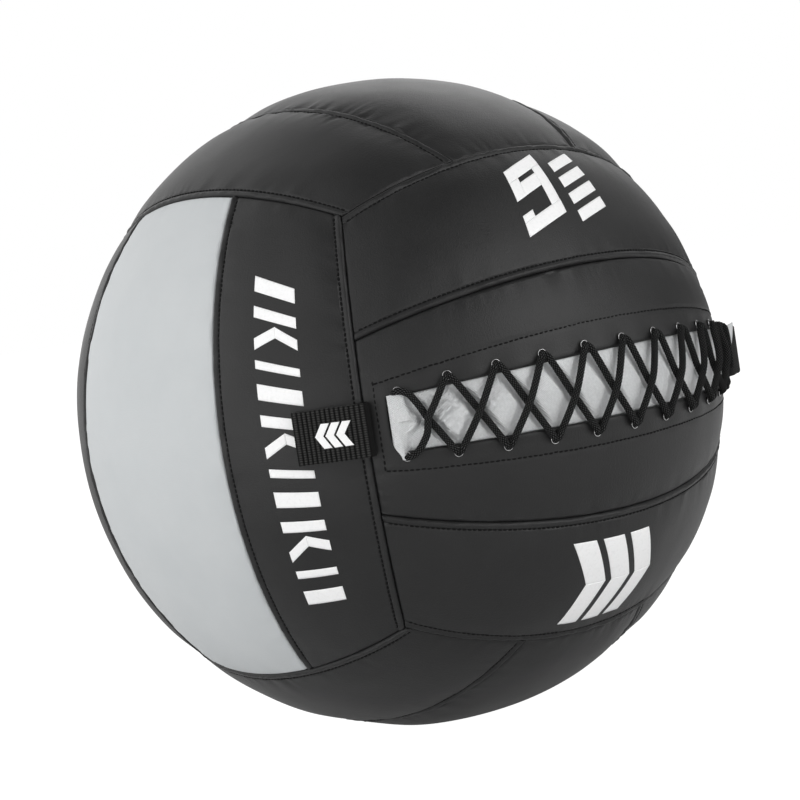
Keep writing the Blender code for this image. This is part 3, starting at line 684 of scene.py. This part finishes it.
# Creases of the tongue that show in the photo: from (along, offset) to (along, offset), half width, height
CREASES = (
    (-105.2, -3.4, -91.5, 9.5, 1.9, 1.0), (-104.0, -6.0, -96.0, 1.0, 2.0, -0.8),
    (-96.5, -9.0, -93.5, -15.0, 2.2, 0.4), (-112.4, -1.0, -111.0, -2.0, 3.2, -1.5),
    (-114.5, 0.5, -121.0, 7.5, 1.3, 0.45), (-114.5, -3.5, -121.0, -8.0, 1.4, 0.4),
    (-122.4, 15.0, -123.4, -9.0, 1.1, 0.55), (-120.2, 14.0, -120.6, -4.0, 0.9, -0.45),
    (-105.5, 10.0, -100.5, 15.0, 1.1, 0.5), (-106.0, 13.5, -102.5, 10.0, 0.9, -0.4),
    (-103.0, -13.0, -99.5, -9.5, 1.0, 0.45), (-81.6, -3.0, -69.5, 8.5, 2.2, 0.7),
    (-86.0, 3.5, -84.5, 8.0, 2.4, -0.9), (-79.0, -8.0, -75.0, -13.0, 1.6, 0.35),
    (-58.0, -2.0, -47.5, 6.5, 2.6, 0.45), (-33.5, -1.5, -25.0, 5.0, 2.8, 0.3),
    (14.0, -2.0, 23.5, 5.0, 2.8, 0.25),
)


def lace_press(along, offset):
    """How near the lower and the upper run of each crossing are, from 0 to 1."""
    cell = (along / EYELET_SPACING) % 1.0
    slant = offset / (2 * EYELET_ROW_OFFSET)
    low, high = (np.abs(cell - 0.5 - way * slant) * EYELET_SPACING for way in (-1, 1))
    return 1 - ease(low, 1.3, 5.6), 1 - ease(high, 0.6, 5.0)


def creased(along, offset):
    """Height of the creases, broken up along their length by small crumples."""
    height = np.zeros_like(along)
    for x0, y0, x1, y1, width, peak in CREASES:
        run = np.array((x1 - x0, y1 - y0))
        size = np.hypot(*run)
        dx, dy = along - x0, offset - y0
        gone = np.clip((dx * run[0] + dy * run[1]) / size ** 2, 0, 1)
        away = np.hypot(dx - gone * run[0], dy - gone * run[1])
        crumple = 1 + 0.35 * noise(gone * size / 1.7, away / 2.5, 77)
        height += 1.6 * peak * bell(away, 0.85 * width) * crumple * (0.45 + 0.55 * np.sin(pi * gone))
    return height


def make_tongue():
    """Swells between the crossings. At the left its end lies out over the edge of the slot."""
    a, across = np.meshgrid(np.linspace(-SLOT_HALF_LENGTH, TONGUE_HALF_LENGTH, 520), np.linspace(-1, 1, 84),
                            indexing="ij")
    edge = slot_edge(a, across)
    out_left = 1 - np.where(across > 0, ease(a, -118.5, -115), ease(a, -123.4, -117.6))
    lap = edge + TONGUE_LAP
    o = across * (lap + (np.where(across > 0, 17.2, 23.2) - lap) * out_left)
    a = a + 3.2 * ease(-o, 13, 23) * np.clip(1 - (a + SLOT_HALF_LENGTH) / 8, 0, 1)
    from_left = a + SLOT_HALF_LENGTH
    inside = np.clip(1 - (np.abs(o) / (edge + 0.6)) ** 2, 0, 1)
    low, high = lace_press(a, o)
    laced = np.abs(a) < SLOT_HALF_LENGTH - 5
    free = -1.6 + 2.3 * inside ** 0.6
    pressed = np.minimum(-0.9 - 0.8 * inside, free)
    height = free + ((pressed - free) * low - 0.7 * high * inside) * laced
    end = ease(SLOT_HALF_LENGTH + 1.5 - a, 0, 6)
    height = TONGUE_SUNK + (height - TONGUE_SUNK) * end
    wrinkles = (0.34 * noise(a / 4.6 + o / 7, o / 15, 71)
                + 0.2 * noise(a / 2.1 - o / 3.6, o / 6 + a / 11, 72))
    about, reach = np.arctan2(o, from_left - 17.5), np.hypot(o, from_left - 17.5)
    rays = noise(about * 3.4, reach / 14, 74) * bell(reach - 8, 8)
    height += end * inside * (wrinkles * (0.25 + 0.6 * bell(from_left - 14, 26)) + 0.8 * rays
                              + 0.2 * noise(a / 12, o / 22, 73))
    crumpled = (0.1 + 0.2 * bell(from_left - 34, 24)) * noise(a / 1.4, o / 1.7, 77)
    height += (creased(a, o) + crumpled) * end * inside ** 0.4
    height += TONGUE_SUNK * ease(np.abs(o) - edge, 0, 1.2) * (1 - out_left)
    raised = 0.95 + 0.5 * inside + 0.12 * noise(a / 3, o / 9, 76)
    height += np.maximum(raised - height, 0) * out_left
    points = on_front(a, o, height).reshape(-1, 3)
    # The flap that stands out at the right end, behind the lace
    side, up = np.meshgrid(np.linspace(-1, 1, 26), np.linspace(0, 1, 14), indexing="ij")
    top = np.interp(side, (-1, 0.0, 1), (3.2, 7.2, 11.0))
    flap = on_front(125 + 8.5 * up ** 0.8, side * (14.5 + 5.4 * up) + 0.5,
                    -2.4 + (top + 2.4) * up + 0.3 * noise(side * 5, up * 2, 75))
    faces = grid_faces(*a.shape) + [tuple(len(points) + i for i in face) for face in grid_faces(*side.shape)]
    obj = mesh_piece("tongue_cloth", np.concatenate([points, flap.reshape(-1, 3)]), faces, SILVER_CLOTH,
                     "silver_cloth", ("tongue",))
    thicken(obj, TONGUE_SHOWN)


# Eyelets

EYELET_OUTER = 2.3
EYELET_INNER = 1.75
EYELET_RISE = 0.5
EYELET_SIDES = 32
# How far the first upper eyelet is drawn in by the lace
FIRST_DRAWN_IN = 2.8


def eyelet_places():
    return [(number - (EYELETS_PER_ROW - 1) / 2) * EYELET_SPACING for number in range(EYELETS_PER_ROW)]


def make_eyelets():
    """Rolled metal rings, one for each solid."""
    middle, half = (EYELET_OUTER + EYELET_INNER) / 2, (EYELET_OUTER - EYELET_INNER) / 2
    profile = [(EYELET_INNER, -1.6), (EYELET_INNER, 0.2)]
    profile += [(middle - half * cos(t), 0.2 + (EYELET_RISE - 0.2) * sin(t))
                for t in np.linspace(0.3, pi - 0.2, 8)]
    profile += [(EYELET_OUTER, 0.05), (EYELET_OUTER - 0.2, -0.2)]
    faces = tube_faces(len(profile), EYELET_SIDES, closed=True)
    for row, side in (("upper", 1), ("lower", -1)):
        for number, along in enumerate(eyelet_places()):
            drawn_in = FIRST_DRAWN_IN if row == "upper" and number == 0 else 0.0
            offset = side * EYELET_ROW_OFFSET - drawn_in
            ahead = unit(on_front(along + 1, offset) - on_front(along - 1, offset))
            up = on_front(along, offset + 1) - on_front(along, offset - 1)
            out = unit(np.cross(ahead, up))
            up = np.cross(out, ahead)
            seat = on_front(along, offset) + 0.3 * out
            verts = [seat + radius * (cos(t) * ahead + sin(t) * up) + height * out
                     for radius, height in profile for t in turns(EYELET_SIDES)]
            name = f"eyelet_{row}_{number + 1:02d}"
            mesh_piece(f"{name}_ring", verts, faces, NICKEL, "nickel", (name,))


# Lace route, as the solids have it

SKIN = 2.0
FACING = 1.2
FIT_GAP = 0.3
TONGUE = 1.1
TONGUE_BULGE = 2.6
BEHIND_FACING = -(SKIN + 2 * FIT_GAP + 0.2 + FACING)
EYELET_FLANGE_TOP = 0.8
PINCHED = 0.85
UNDER_RADIUS = 1.0
PASS_OFFSET = 0.68
CROSS_CLEARANCE = 0.6
PITCH = 2 * LACE_RADIUS + CROSS_CLEARANCE
LIFT = LACE_RADIUS + 2 * FIT_GAP

# The gathered end: pitches along, share of the row offset, layers up, share of the lace's radius
TIED_UPPER = ((0.85, 0.84, 0, 0.88), (1.0, 0.66, 0, 1), (1.0, 0, 0, 1), (1.0, -0.68, 0, 1),
              (1.27, -0.82, 0, 1), (1.76, -0.82, 0, 1), (2.03, -0.68, 0, 1), (2.03, 0, 0, 1),
              (2.03, 0.68, 0, 1))
TIED_LOWER = ((1.0, -1.09, 0, 0.88), (2.05, -1.12, 0, 1), (2.8, -1.02, 0, 1), (3.07, -0.8, 0, 1),
              (3.07, 0, 0, 1), (3.07, 0.66, 0, 1), (2.9, 0.87, 0, 1), (2.35, 0.98, 0.1, 1),
              (1.8, 0.93, 0.5, 1), (1.53, 0.75, 1, 1), (1.53, 0, 1, 1), (1.53, -0.5, 1, 1))
# Where the lace comes out at the left end of the slot: along, offset, height, share of its radius
FIRST_UPPER = ((-111.7, 7.9, 2.1, 1.0), (-114.9, 14.4, 2.4, 1.0), (-117.3, 17.2, 2.6, 1.0),
               (-119.9, 18.4, 2.4, 1.0), (-122.0, 18.4, 1.2, 0.85), (-123.0, 17.0, -1.4, 0.7),
               (-122.4, 13.0, -4.5, 0.6), (-121.0, 8.0, -6.5, 0.6))
FIRST_LOWER = ((-109.8, -7.9, 3.5, 1.0), (-112.0, -13.0, 3.0, 1.0), (-114.4, -17.1, 2.7, 1.0),
               (-116.9, -19.9, 2.4, 1.0), (-119.2, -21.3, 1.5, 0.95), (-121.0, -21.5, -0.2, 0.8),
               (-121.7, -19.8, -2.4, 0.7), (-121.6, -15.0, -4.8, 0.65), (-120.6, -9.0, -6.5, 0.6))


def mirrored(first, place, height, radius):
    """Half of a run, its middle point and the same half turned about that point."""
    second = [(2 * place - along, -offset, *rest) for along, offset, *rest in first]
    return first + [(place, 0.0, height, radius)] + second[::-1]


def run_over(start, side, high):
    """From an eyelet over the tongue to the next one of the other row."""
    mid = BEHIND_FACING + TONGUE_BULGE + LACE_RADIUS + FIT_GAP + (PITCH if high else 0.0)
    slope = (EYELET_SPACING - 2 * PASS_OFFSET) / (2 * EYELET_ROW_OFFSET)
    steps = ((-0.35, EYELET_FLANGE_TOP - 0.4, 0.95), (0.3, 1.7, 1.3),
             (2.0, LIFT + FIT_GAP, 0.95 * LACE_RADIUS),
             (EYELET_ROW_OFFSET - SLOT_HALF_WIDTH, LIFT, LACE_RADIUS),
             (0.62 * EYELET_ROW_OFFSET, LIFT + (mid - LIFT) * 0.6, LACE_RADIUS))
    first = [(start + PASS_OFFSET + slope * gone, side * (EYELET_ROW_OFFSET - gone), height, radius)
             for gone, height, radius in steps]
    return mirrored(first, start + EYELET_SPACING / 2, mid, LACE_RADIUS)


def run_under(place, side, high):
    """Under the tongue from an eyelet to the one across from it."""
    deep = BEHIND_FACING - TONGUE - 2 * FIT_GAP - UNDER_RADIUS
    apart = (2 * UNDER_RADIUS + CROSS_CLEARANCE) / sqrt(2)
    steps = ((0.0, PASS_OFFSET, BEHIND_FACING, PINCHED),
             (0.17 * EYELET_ROW_OFFSET, apart, deep, UNDER_RADIUS))
    first = [(place - shift, side * (EYELET_ROW_OFFSET - gone), height, radius)
             for gone, shift, height, radius in steps]
    return mirrored(first, place, deep + (apart if high else -apart), UNDER_RADIUS)


def run_tied(start, side, shares):
    """From the last eyelet through the gathered end."""
    layer = sqrt(PITCH ** 2 - (PITCH / 2) ** 2)
    points = [(start + PASS_OFFSET, side * EYELET_ROW_OFFSET, EYELET_FLANGE_TOP - 0.6, PINCHED),
              (start + 2.2 * PASS_OFFSET, side * EYELET_ROW_OFFSET - PASS_OFFSET, 1.8, 1.3 * PINCHED)]
    return points + [(start + pitches * PITCH, share * EYELET_ROW_OFFSET, LIFT + layers * layer,
                      size * LACE_RADIUS) for pitches, share, layers, size in shares]


def lace_route():
    """The whole lace, from one tied end round the left end of the slot to the other."""
    places = eyelet_places()
    first, second = [], []
    for place, following in zip(places, places[1:]):
        first += run_over(place, 1, False) + run_under(following, -1, True)
        second += run_over(place, -1, True) + run_under(following, 1, False)
    first += run_tied(places[-1], 1, TIED_UPPER)
    second += run_tied(places[-1], -1, TIED_LOWER)
    corner = [(*place, share * LACE_RADIUS) for *place, share in FIRST_UPPER + FIRST_LOWER[::-1]]
    return first[:4:-1] + corner + second[5:]


def smooth_line(points, step):
    """Catmull-Rom curve through rows whose first columns are a place, sampled at even steps."""
    points = np.asarray(points)
    padded = np.concatenate([2 * points[:1] - points[1:2], points, 2 * points[-1:] - points[-2:-1]])
    t = np.linspace(0, 1, 12, endpoint=False)[:, None]
    a, b, c, d = padded[:-3], padded[1:-2], padded[2:-1], padded[3:]
    curve = np.concatenate([0.5 * (2 * b[i] + (c[i] - a[i]) * t
                                   + (2 * a[i] - 5 * b[i] + 4 * c[i] - d[i]) * t ** 2
                                   + (3 * b[i] - a[i] - 3 * c[i] + d[i]) * t ** 3) for i in range(len(a))]
                           + [points[-1:]])
    run = run_along(curve[:, :3])
    at = np.linspace(0, run[-1], int(run[-1] / step))
    return points_at(at, run, curve), at


def swept_frames(line):
    """Two square directions along a line, turned as little as possible."""
    tangent = unit(np.gradient(line, axis=0))
    side = np.zeros_like(line)
    side[0] = unit(np.cross(tangent[0], (0.3, 0.2, 0.9)))
    for i in range(1, len(line)):
        side[i] = unit(side[i - 1] - tangent[i] * (side[i - 1] @ tangent[i]))
    return side, np.cross(tangent, side)


LACE_STEP = 0.3
LACE_SIDES = 32


def make_lace():
    """Braided cord: strands that wind both ways round it, over and under."""
    route = [(*on_front(a, o, h), r) for a, o, h, r in lace_route()]
    line, at = smooth_line(route, LACE_STEP)
    side, other = swept_frames(line[:, :3])
    turn, run = turns(LACE_SIDES), 2 * pi * at[:, None] / BRAID_PITCH
    crossed = np.sin(BRAID_STRANDS * turn + run) * np.sin(BRAID_STRANDS * turn - run)
    radius = line[:, 3:] * (0.9 + 0.17 * np.abs(crossed))
    points = line[:, None, :3] + radius[..., None] * (
        np.cos(turn)[:, None] * side[:, None] + np.sin(turn)[:, None] * other[:, None])
    wrap = np.stack(np.broadcast_arrays(at[:, None] * MM, turn), -1)
    mesh_piece("lace_braid", points, tube_faces(len(line), LACE_SIDES), LACE_YARN, "lace_cord", ("lace",),
               uv=wrap)


# Webbing loops

# Middle line of each loop: share of its length along the ball, share of its lift or, below 0, of its root
LEFT_TAB = ((0.0, -1.0), (-0.045, -0.35), (-0.068, 0.3), (-0.02, 0.8),
            (0.11, 1.0), (0.31, 0.86), (0.62, 0.55), (1.0, 0.21))
RIGHT_TAB = ((0.0, -1.0), (0.006, -0.27), (0.05, 0.11), (0.17, 0.27),
             (0.41, 0.51), (0.7, 0.78), (1.0, 1.0))
LEFT_TAB_LIFT = 4.2
RIGHT_TAB_LIFT = 11.2
TAB_STEP = 0.25
TAB_COLUMNS = 81
# Ribs that the bend at the root hides: there the webbing is smooth and takes the yarn's darkest colour,
# painted shade of the bend
ROOT_RIBS_IN_PAINTED_SHADE = 4
TWILL_PITCH = 1.05


def tab_line(shares, lift, side):
    """Middle line of a loop, as points from its fold line in the plane square to that line."""
    axis_radius = BALL_RADIUS + TAB_AXIS_HEIGHT
    knots = []
    for along_share, height_share in shares:
        reach = axis_radius + height_share * (lift if height_share > 0 else TAB_ROOT_DEPTH)
        angle = along_share * TAB_LENGTH / BALL_RADIUS
        knots.append((side * reach * sin(angle), reach * cos(angle) - axis_radius))
    return smooth_line(knots, TAB_STEP)[0]


def with_normals(path):
    run = unit(np.gradient(path, axis=0))
    return run, np.stack([-run[:, 1], run[:, 0]], 1)


def ply_path(line, apart):
    """Out along one ply, round the fold and back along the other."""
    run, normal = with_normals(line)
    turn = np.linspace(pi / 2, -pi / 2, 14)[1:-1, None]
    fold = line[-1] + apart * (np.cos(turn) * run[-1] + np.sin(turn) * normal[-1])
    return np.concatenate([line + apart * normal, fold, (line - apart * normal)[::-1]])


def tab_axes(side):
    """Directions along the ball and out of it at a loop's fold line, and the line's place."""
    along = np.array((side, 1, 0)) / sqrt(2) * side
    outward = np.array((side, -1, 0)) / sqrt(2)
    return along, outward, CENTRE + outward * (BALL_RADIUS + TAB_AXIS_HEIGHT)


def make_tab(name, shares, lift, side):
    path = ply_path(tab_line(shares, lift, side), (WEBBING_SLIT + WEBBING) / 2)
    run = run_along(path)
    at = np.arange(0, run[-1], TAB_STEP)
    path = points_at(at, run, path)
    normal = with_normals(path)[1]
    along, outward, origin = tab_axes(side)
    half_round = np.linspace(-1, 1, TAB_COLUMNS)
    width_shares = np.concatenate([half_round, half_round[::-1]])
    faces_up = np.repeat((1, -1), TAB_COLUMNS)
    edge = np.clip((1 - np.abs(width_shares)) / 0.05, 0, 1)
    half = WEBBING / 2 * (0.55 + 0.45 * np.sqrt(edge))
    last_rib = (run[-1] // RIB_PITCH - ROOT_RIBS_IN_PAINTED_SHADE) * RIB_PITCH
    # Near each root the place along the ribs is held still, so the colour there stays at the yarn's darkest:
    # painted shade of the bend
    ribbed = np.clip(at, ROOT_RIBS_IN_PAINTED_SHADE * RIB_PITCH, last_rib)
    rib = np.where(ribbed == at, np.abs(np.sin(pi * at / RIB_PITCH)) ** 0.7, 0.5)[:, None]
    across = WEBBING_WIDTH / 2 * width_shares
    herring = np.abs(2 * ((at[:, None] / RIB_PITCH) % 1.0) - 1)
    twill = 0.09 * np.sin(2 * pi * (across / TWILL_PITCH + 0.8 * herring)) * rib
    depth = half * faces_up * (0.1 + 0.9 * rib + twill)
    waver = 0.18 * noise(at / 6, 0 * at, 31)[:, None]
    flat = path[:, None] + normal[:, None] * depth[..., None]
    z = across + waver * np.sign(width_shares)
    points = origin + flat[..., :1] * along + flat[..., 1:] * outward + z[..., None] * UP
    body = "loop_left" if side < 0 else "loop_right"
    cut = np.stack(np.broadcast_arrays(ribbed[:, None], z), -1)
    obj = mesh_piece(f"{name}_webbing", points, tube_faces(*points.shape[:2]), WEBBING_YARN, "webbing",
                     (name,), body, uv=cut * MM)
    bm = bmesh.new()
    bm.from_mesh(obj.data)
    bmesh.ops.recalc_face_normals(bm, faces=bm.faces)
    bm.to_mesh(obj.data)
    bm.free()
    obj.data.shade_smooth()


def on_left_tab(x, y):
    """Lays a flat drawing on the outer face of the left loop, with x back from its fold."""
    line = tab_line(LEFT_TAB, LEFT_TAB_LIFT, -1)
    normal = with_normals(line)[1]
    normal *= np.sign(normal[:, 1:])
    far = run_along(line)
    at = far[-1] - x
    flat = points_at(at, far, line) + points_at(at, far, normal) * (WEBBING_SLIT / 2 + 1.02 * WEBBING)
    along, outward, origin = tab_axes(-1)
    return origin + flat[:, :1] * along + flat[:, 1:] * outward + y[:, None] * UP


# Prints

PRINT_THICKNESS = 0.08
PRINT_LIFT = 0.07
PRINT_OVERLAP = 0.25
# The shapes of a print lie in turn this much higher, so that no two that overlap are level
PRINT_STEP = 0.006
PRINT_STEPS = 6


def grown(corners):
    """The same four corners, a little further out, so that neighbours overlap."""
    corners = np.array(corners, float)
    middle = np.mean(corners, axis=0)
    return corners + PRINT_OVERLAP * unit(corners - middle)


def filled(corners, cell):
    """Fine grid of points that fills four corners, and its faces."""
    a, b, c, d = corners
    rows, columns = (int(np.linalg.norm(side) / cell) + 2 for side in (b - a, d - a))
    s, t = np.linspace(0, 1, rows)[:, None, None], np.linspace(0, 1, columns)[:, None]
    points = (a + (b - a) * s) * (1 - t) + (d + (c - d) * s) * t
    return points.reshape(-1, 2), grid_faces(rows, columns)


def print_shapes(name, shapes, place, body="ball", cell=1.2):
    """A print made of four-cornered shapes, laid on a surface by place(x, y)."""
    verts, faces = [], []
    for i, corners in enumerate(shapes):
        patch, patch_faces = filled(grown(corners), cell)
        points = place(patch[:, 0], patch[:, 1])
        faces.extend(tuple(len(verts) + k for k in face) for face in patch_faces)
        verts.extend(points + unit(points - CENTRE) * PRINT_STEP * (i % PRINT_STEPS))
    thicken(mesh_piece(name, verts, faces, PRINT, "silver_skin", body=body), PRINT_THICKNESS, 0)


def on_strip(face, at_along, at_across):
    """Lays a flat drawing on a cube face, with its middle at a place."""
    def place(x, y):
        return surface(face, np.tan((at_along + x) / BALL_RADIUS), np.tan((at_across + y) / BALL_RADIUS),
                       PRINT_LIFT)
    return place


def bar(x0, y0, x1, y1, slant=0):
    """Corners of an upright bar, or of one that leans by slant."""
    s = slant / 2
    return [(x0 - s, y0), (x1 - s, y0), (x1 + s, y1), (x0 + s, y1)]


def chevron(x, stroke, point, half_height):
    """Two slanting strokes that meet at a point beside x."""
    return [[(x, y), (x + stroke, y), (x + point + stroke, 0), (x + point, 0)]
            for y in (half_height, -half_height)]


def leaning(shapes):
    return [[(x + 0.1 * y, y + 0.3 * x) for x, y in corners] for corners in shapes]


def block_nine(height, width, stroke):
    """A plain block numeral, as bars."""
    h, w, s = height / 2, width / 2, stroke
    return [bar(-w, h - s, w, h), bar(-w, s * 0.1, -w + s, h - s), bar(w - s, -h + s, w, h - s),
            bar(-w + s, s * 0.1, w - s, s * 1.1), bar(-w, -h, w, -h + s),
            bar(-w, -h + s, -w + s, -h + 1.5 * s)]


def make_tab_mark():
    marks = [stroke for i in range(3) for stroke in chevron(13.2 + 5.2 * i, 3.8, -3.6, 5.6)]
    print_shapes("tab_mark_print", marks, on_left_tab, "loop_left", cell=0.8)


def make_prints():
    # Widths of the bars along the side panel, with a chevron at each None
    column, x = [], -97
    for width in (8.5, 4.6, None, 6.2) * 3 + (8.5,):
        if width is None:
            column += chevron(x, 6, 6.5, -11)
            x += 15
        else:
            column.append(bar(x, -11, x + width, 11, slant=5))
            x += width + 8.2
    print_shapes("side_bars_print", column, on_strip("left", 0, -98.5))
    print_shapes("numeral_print", leaning(block_nine(39, 31, 7.8)), on_strip("front", -17, 105))
    grades = [bar(-13, 11.8 - 10.4 * i, 13, 18.2 - 10.4 * i) for i in range(4)]
    print_shapes("grade_print", leaning(grades), on_strip("front", 20, 107))
    emblem = [stroke for i in range(3) for stroke in chevron(-34 + 20 * i, 15, 13, 25)]
    print_shapes("emblem_print", emblem, on_strip("front", -4, -101))


# Pieces inside the ball


def make_inner_pieces():
    """The hidden soft pieces: the solids' own forms, with a softer surface."""
    facing = woven_cloth("facing_cloth", grey(0.03), grey(0.018), 300.0, 0.6, 0.8, 0.1)
    foam = yarn("open_foam", (0.30, 0.29, 0.26), (0.20, 0.19, 0.17), 1400.0, 0.9)
    fibre = yarn("loose_fibre", (0.62, 0.60, 0.56), (0.45, 0.43, 0.40), 650.0, 0.95)
    canvas = woven_cloth("ballast_canvas", (0.52, 0.46, 0.36), (0.40, 0.35, 0.27), 240.0, 0.8, 0.85, 0.05)
    for name, mat, slot, kind in (("slot_facing", facing, "facing_cloth", "cloth"),
                                  ("padding_upper", foam, "foam", "foam"),
                                  ("padding_lower", foam, "foam", "foam"),
                                  ("fill_upper", fibre, "fibre", "fibre"),
                                  ("fill_lower", fibre, "fibre", "fibre"),
                                  ("ballast_bag", canvas, "canvas", "canvas")):
        bm = bmesh.new()
        bm.from_mesh(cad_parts[name].data)
        bmesh.ops.remove_doubles(bm, verts=bm.verts, dist=1e-6)
        bm.normal_update()
        for vert in bm.verts:
            wave = sin(vert.co.x * 210 + 1.3) * sin(vert.co.y * 190 + 0.4) * sin(vert.co.z * 230 + 2.1)
            vert.co += vert.normal * (0.12 + 0.12 * wave) * MM * (0.3 if kind == "cloth" else 1)
        mesh = bpy.data.meshes.new(f"{name}_{kind}")
        bm.to_mesh(mesh)
        bm.free()
        obj = add_piece(mesh, mat, slot, (name,))


# Camera, lights and floor

VIEW_AZIMUTH = radians(-39.2)
VIEW_ELEVATION = radians(3.3)
VIEW_ROLL = radians(-8.8)
VIEW_RADII = 6.45
IMAGE_SIZE = 800
BALL_RADIUS_PX = 323.5
BALL_CENTRE_PX = (400.5, 401.8)
# The ball's middle, in metres
MIDDLE = Vector(CENTRE) * MM
# Lamps: place from the ball's middle as right, up and back, size, power
LAMPS = {
    "side_left": ((-1.8, 0.3, 0.3), (0.9, 1.5), 3.4),
    "side_right": ((1.9, 0.5, 0.2), (1.0, 1.2), 1.4),
    "front_right": ((1.3, 1.0, 1.1), (1.4, 1.4), 13.5),
    "front_left": ((-1.0, 1.2, 1.3), (1.2, 1.2), 3.5),
    "low_left": ((-0.9, -0.6, 1.2), (1.6, 0.8), 16.0),
    "low_right": ((1.1, -0.7, 1.2), (1.2, 1.0), 9.0),
}
# Dim and bright patches of the studio: way as right, up and back, where each starts and is full, strength
PATCHES = (
    ((0.15, 0.89, 0.41), 0.45, 0.95, 0.1),
    ((-0.1, 0.85, -0.51), 0.93, 0.99, 0.5),
    ((0.77, 0.05, -0.64), 0.57, 0.95, 0.12),
    ((0.24, 0.56, -0.79), 0.9, 1.0, 2.3),
)
STUDIO_STRENGTH = 1.08
FLOOR_REACH = 30.0
FLOOR_DROP = 0.0002
# How much of the floor is plain white to the camera, and to reflections
WHITE_TO_CAMERA = 0.86
WHITE_TO_GLOSS = 0.15


def make_camera():
    """The photo's camera. Returns the rotation that holds its right, up and back directions."""
    back = Vector((sin(VIEW_AZIMUTH) * cos(VIEW_ELEVATION), -cos(VIEW_AZIMUTH) * cos(VIEW_ELEVATION),
                   sin(VIEW_ELEVATION)))
    level = Vector((cos(VIEW_AZIMUTH), sin(VIEW_AZIMUTH), 0))
    right = level * cos(VIEW_ROLL) + back.cross(level) * sin(VIEW_ROLL)
    rotation = Matrix((right, back.cross(right), back)).transposed()
    focal_px = BALL_RADIUS_PX * sqrt(VIEW_RADII ** 2 - 1)
    off_x, off_y = ((c - IMAGE_SIZE / 2) / focal_px for c in BALL_CENTRE_PX)
    camera = bpy.data.cameras.new("camera")
    camera.sensor_width = 36
    camera.lens = focal_px / IMAGE_SIZE * camera.sensor_width
    camera.clip_start = 0.01
    obj = bpy.data.objects.new("camera", camera)
    place = MIDDLE + rotation @ Vector((-off_x, off_y, 1)) * (VIEW_RADII * BALL_RADIUS * MM)
    obj.matrix_world = Matrix.Translation(place) @ rotation.to_4x4()
    bpy.context.scene.collection.objects.link(obj)
    bpy.context.scene.camera = obj
    return rotation


def make_lights(rotation):
    for name, (place, size, power) in LAMPS.items():
        light = bpy.data.lights.new(name, "AREA")
        light.shape = "RECTANGLE"
        light.size, light.size_y = size
        light.energy = power
        obj = bpy.data.objects.new(name, light)
        obj.location = MIDDLE + rotation @ Vector(place)
        obj.rotation_euler = (MIDDLE - obj.location).to_track_quat("-Z", "Y").to_euler()
        bpy.context.scene.collection.objects.link(obj)


def make_floor():
    mesh = bpy.data.meshes.new("floor")
    corners = [(x * FLOOR_REACH, y * FLOOR_REACH, 0) for x, y in ((-1, -1), (1, -1), (1, 1), (-1, 1))]
    mesh.from_pydata(corners, [], [(0, 1, 2, 3)])
    floor = bpy.data.objects.new("floor", mesh)
    bpy.context.scene.collection.objects.link(floor)
    floor.location.z = -FLOOR_DROP
    mat, tree = new_material("floor_white", grey(0.8), 0.9, Specular_IOR_Level=0.0)
    glossy = maths(tree, "MULTIPLY", node(tree, "LightPath", out="Is Glossy Ray"), WHITE_TO_GLOSS)
    share = maths(tree, "MULTIPLY_ADD", node(tree, "LightPath", out="Is Camera Ray"), WHITE_TO_CAMERA, glossy)
    mix = node(tree, "MixShader", share, tree.nodes["Principled BSDF"].outputs[0],
               node(tree, "Emission", Strength=1.2))
    join(tree, mix, tree.nodes["Material Output"].inputs["Surface"])
    mesh.materials.append(mat)


def make_studio(rotation):
    """Surroundings that light the ball with soft patches and are plain white behind it."""
    world = bpy.data.worlds.new("studio")
    bpy.context.scene.world = world
    world.use_nodes = True
    tree = world.node_tree
    strength = STUDIO_STRENGTH
    for way, start, full, least in PATCHES:
        toward = node(tree, "VectorMath", coords(tree, "Generated"), (rotation @ Vector(way)).normalized(),
                      out="Value", operation="DOT_PRODUCT")
        dim = node(tree, "MapRange", toward, From_Min=start, From_Max=full, To_Min=1.0, To_Max=least)
        strength = maths(tree, "MULTIPLY", dim, strength)
    white = (1, 1, 1, 1)
    soft = node(tree, "Background", Color=white, Strength=strength)
    plain = node(tree, "Background", Color=white, Strength=1.0)
    mix = node(tree, "MixShader", node(tree, "LightPath", out="Is Camera Ray"), soft, plain)
    join(tree, mix, tree.nodes["World Output"].inputs["Surface"])


rotation = make_camera()
make_lights(rotation)
make_floor()
make_studio(rotation)
make_panels()
make_stitches()
make_tongue()
make_inner_pieces()
make_eyelets()
make_lace()
make_tab("tab_left", LEFT_TAB, LEFT_TAB_LIFT, -1)
make_tab_mark()
make_tab("tab_right", RIGHT_TAB, RIGHT_TAB_LIFT, 1)
make_prints()

bpy.context.scene.view_settings.view_transform = "Standard"
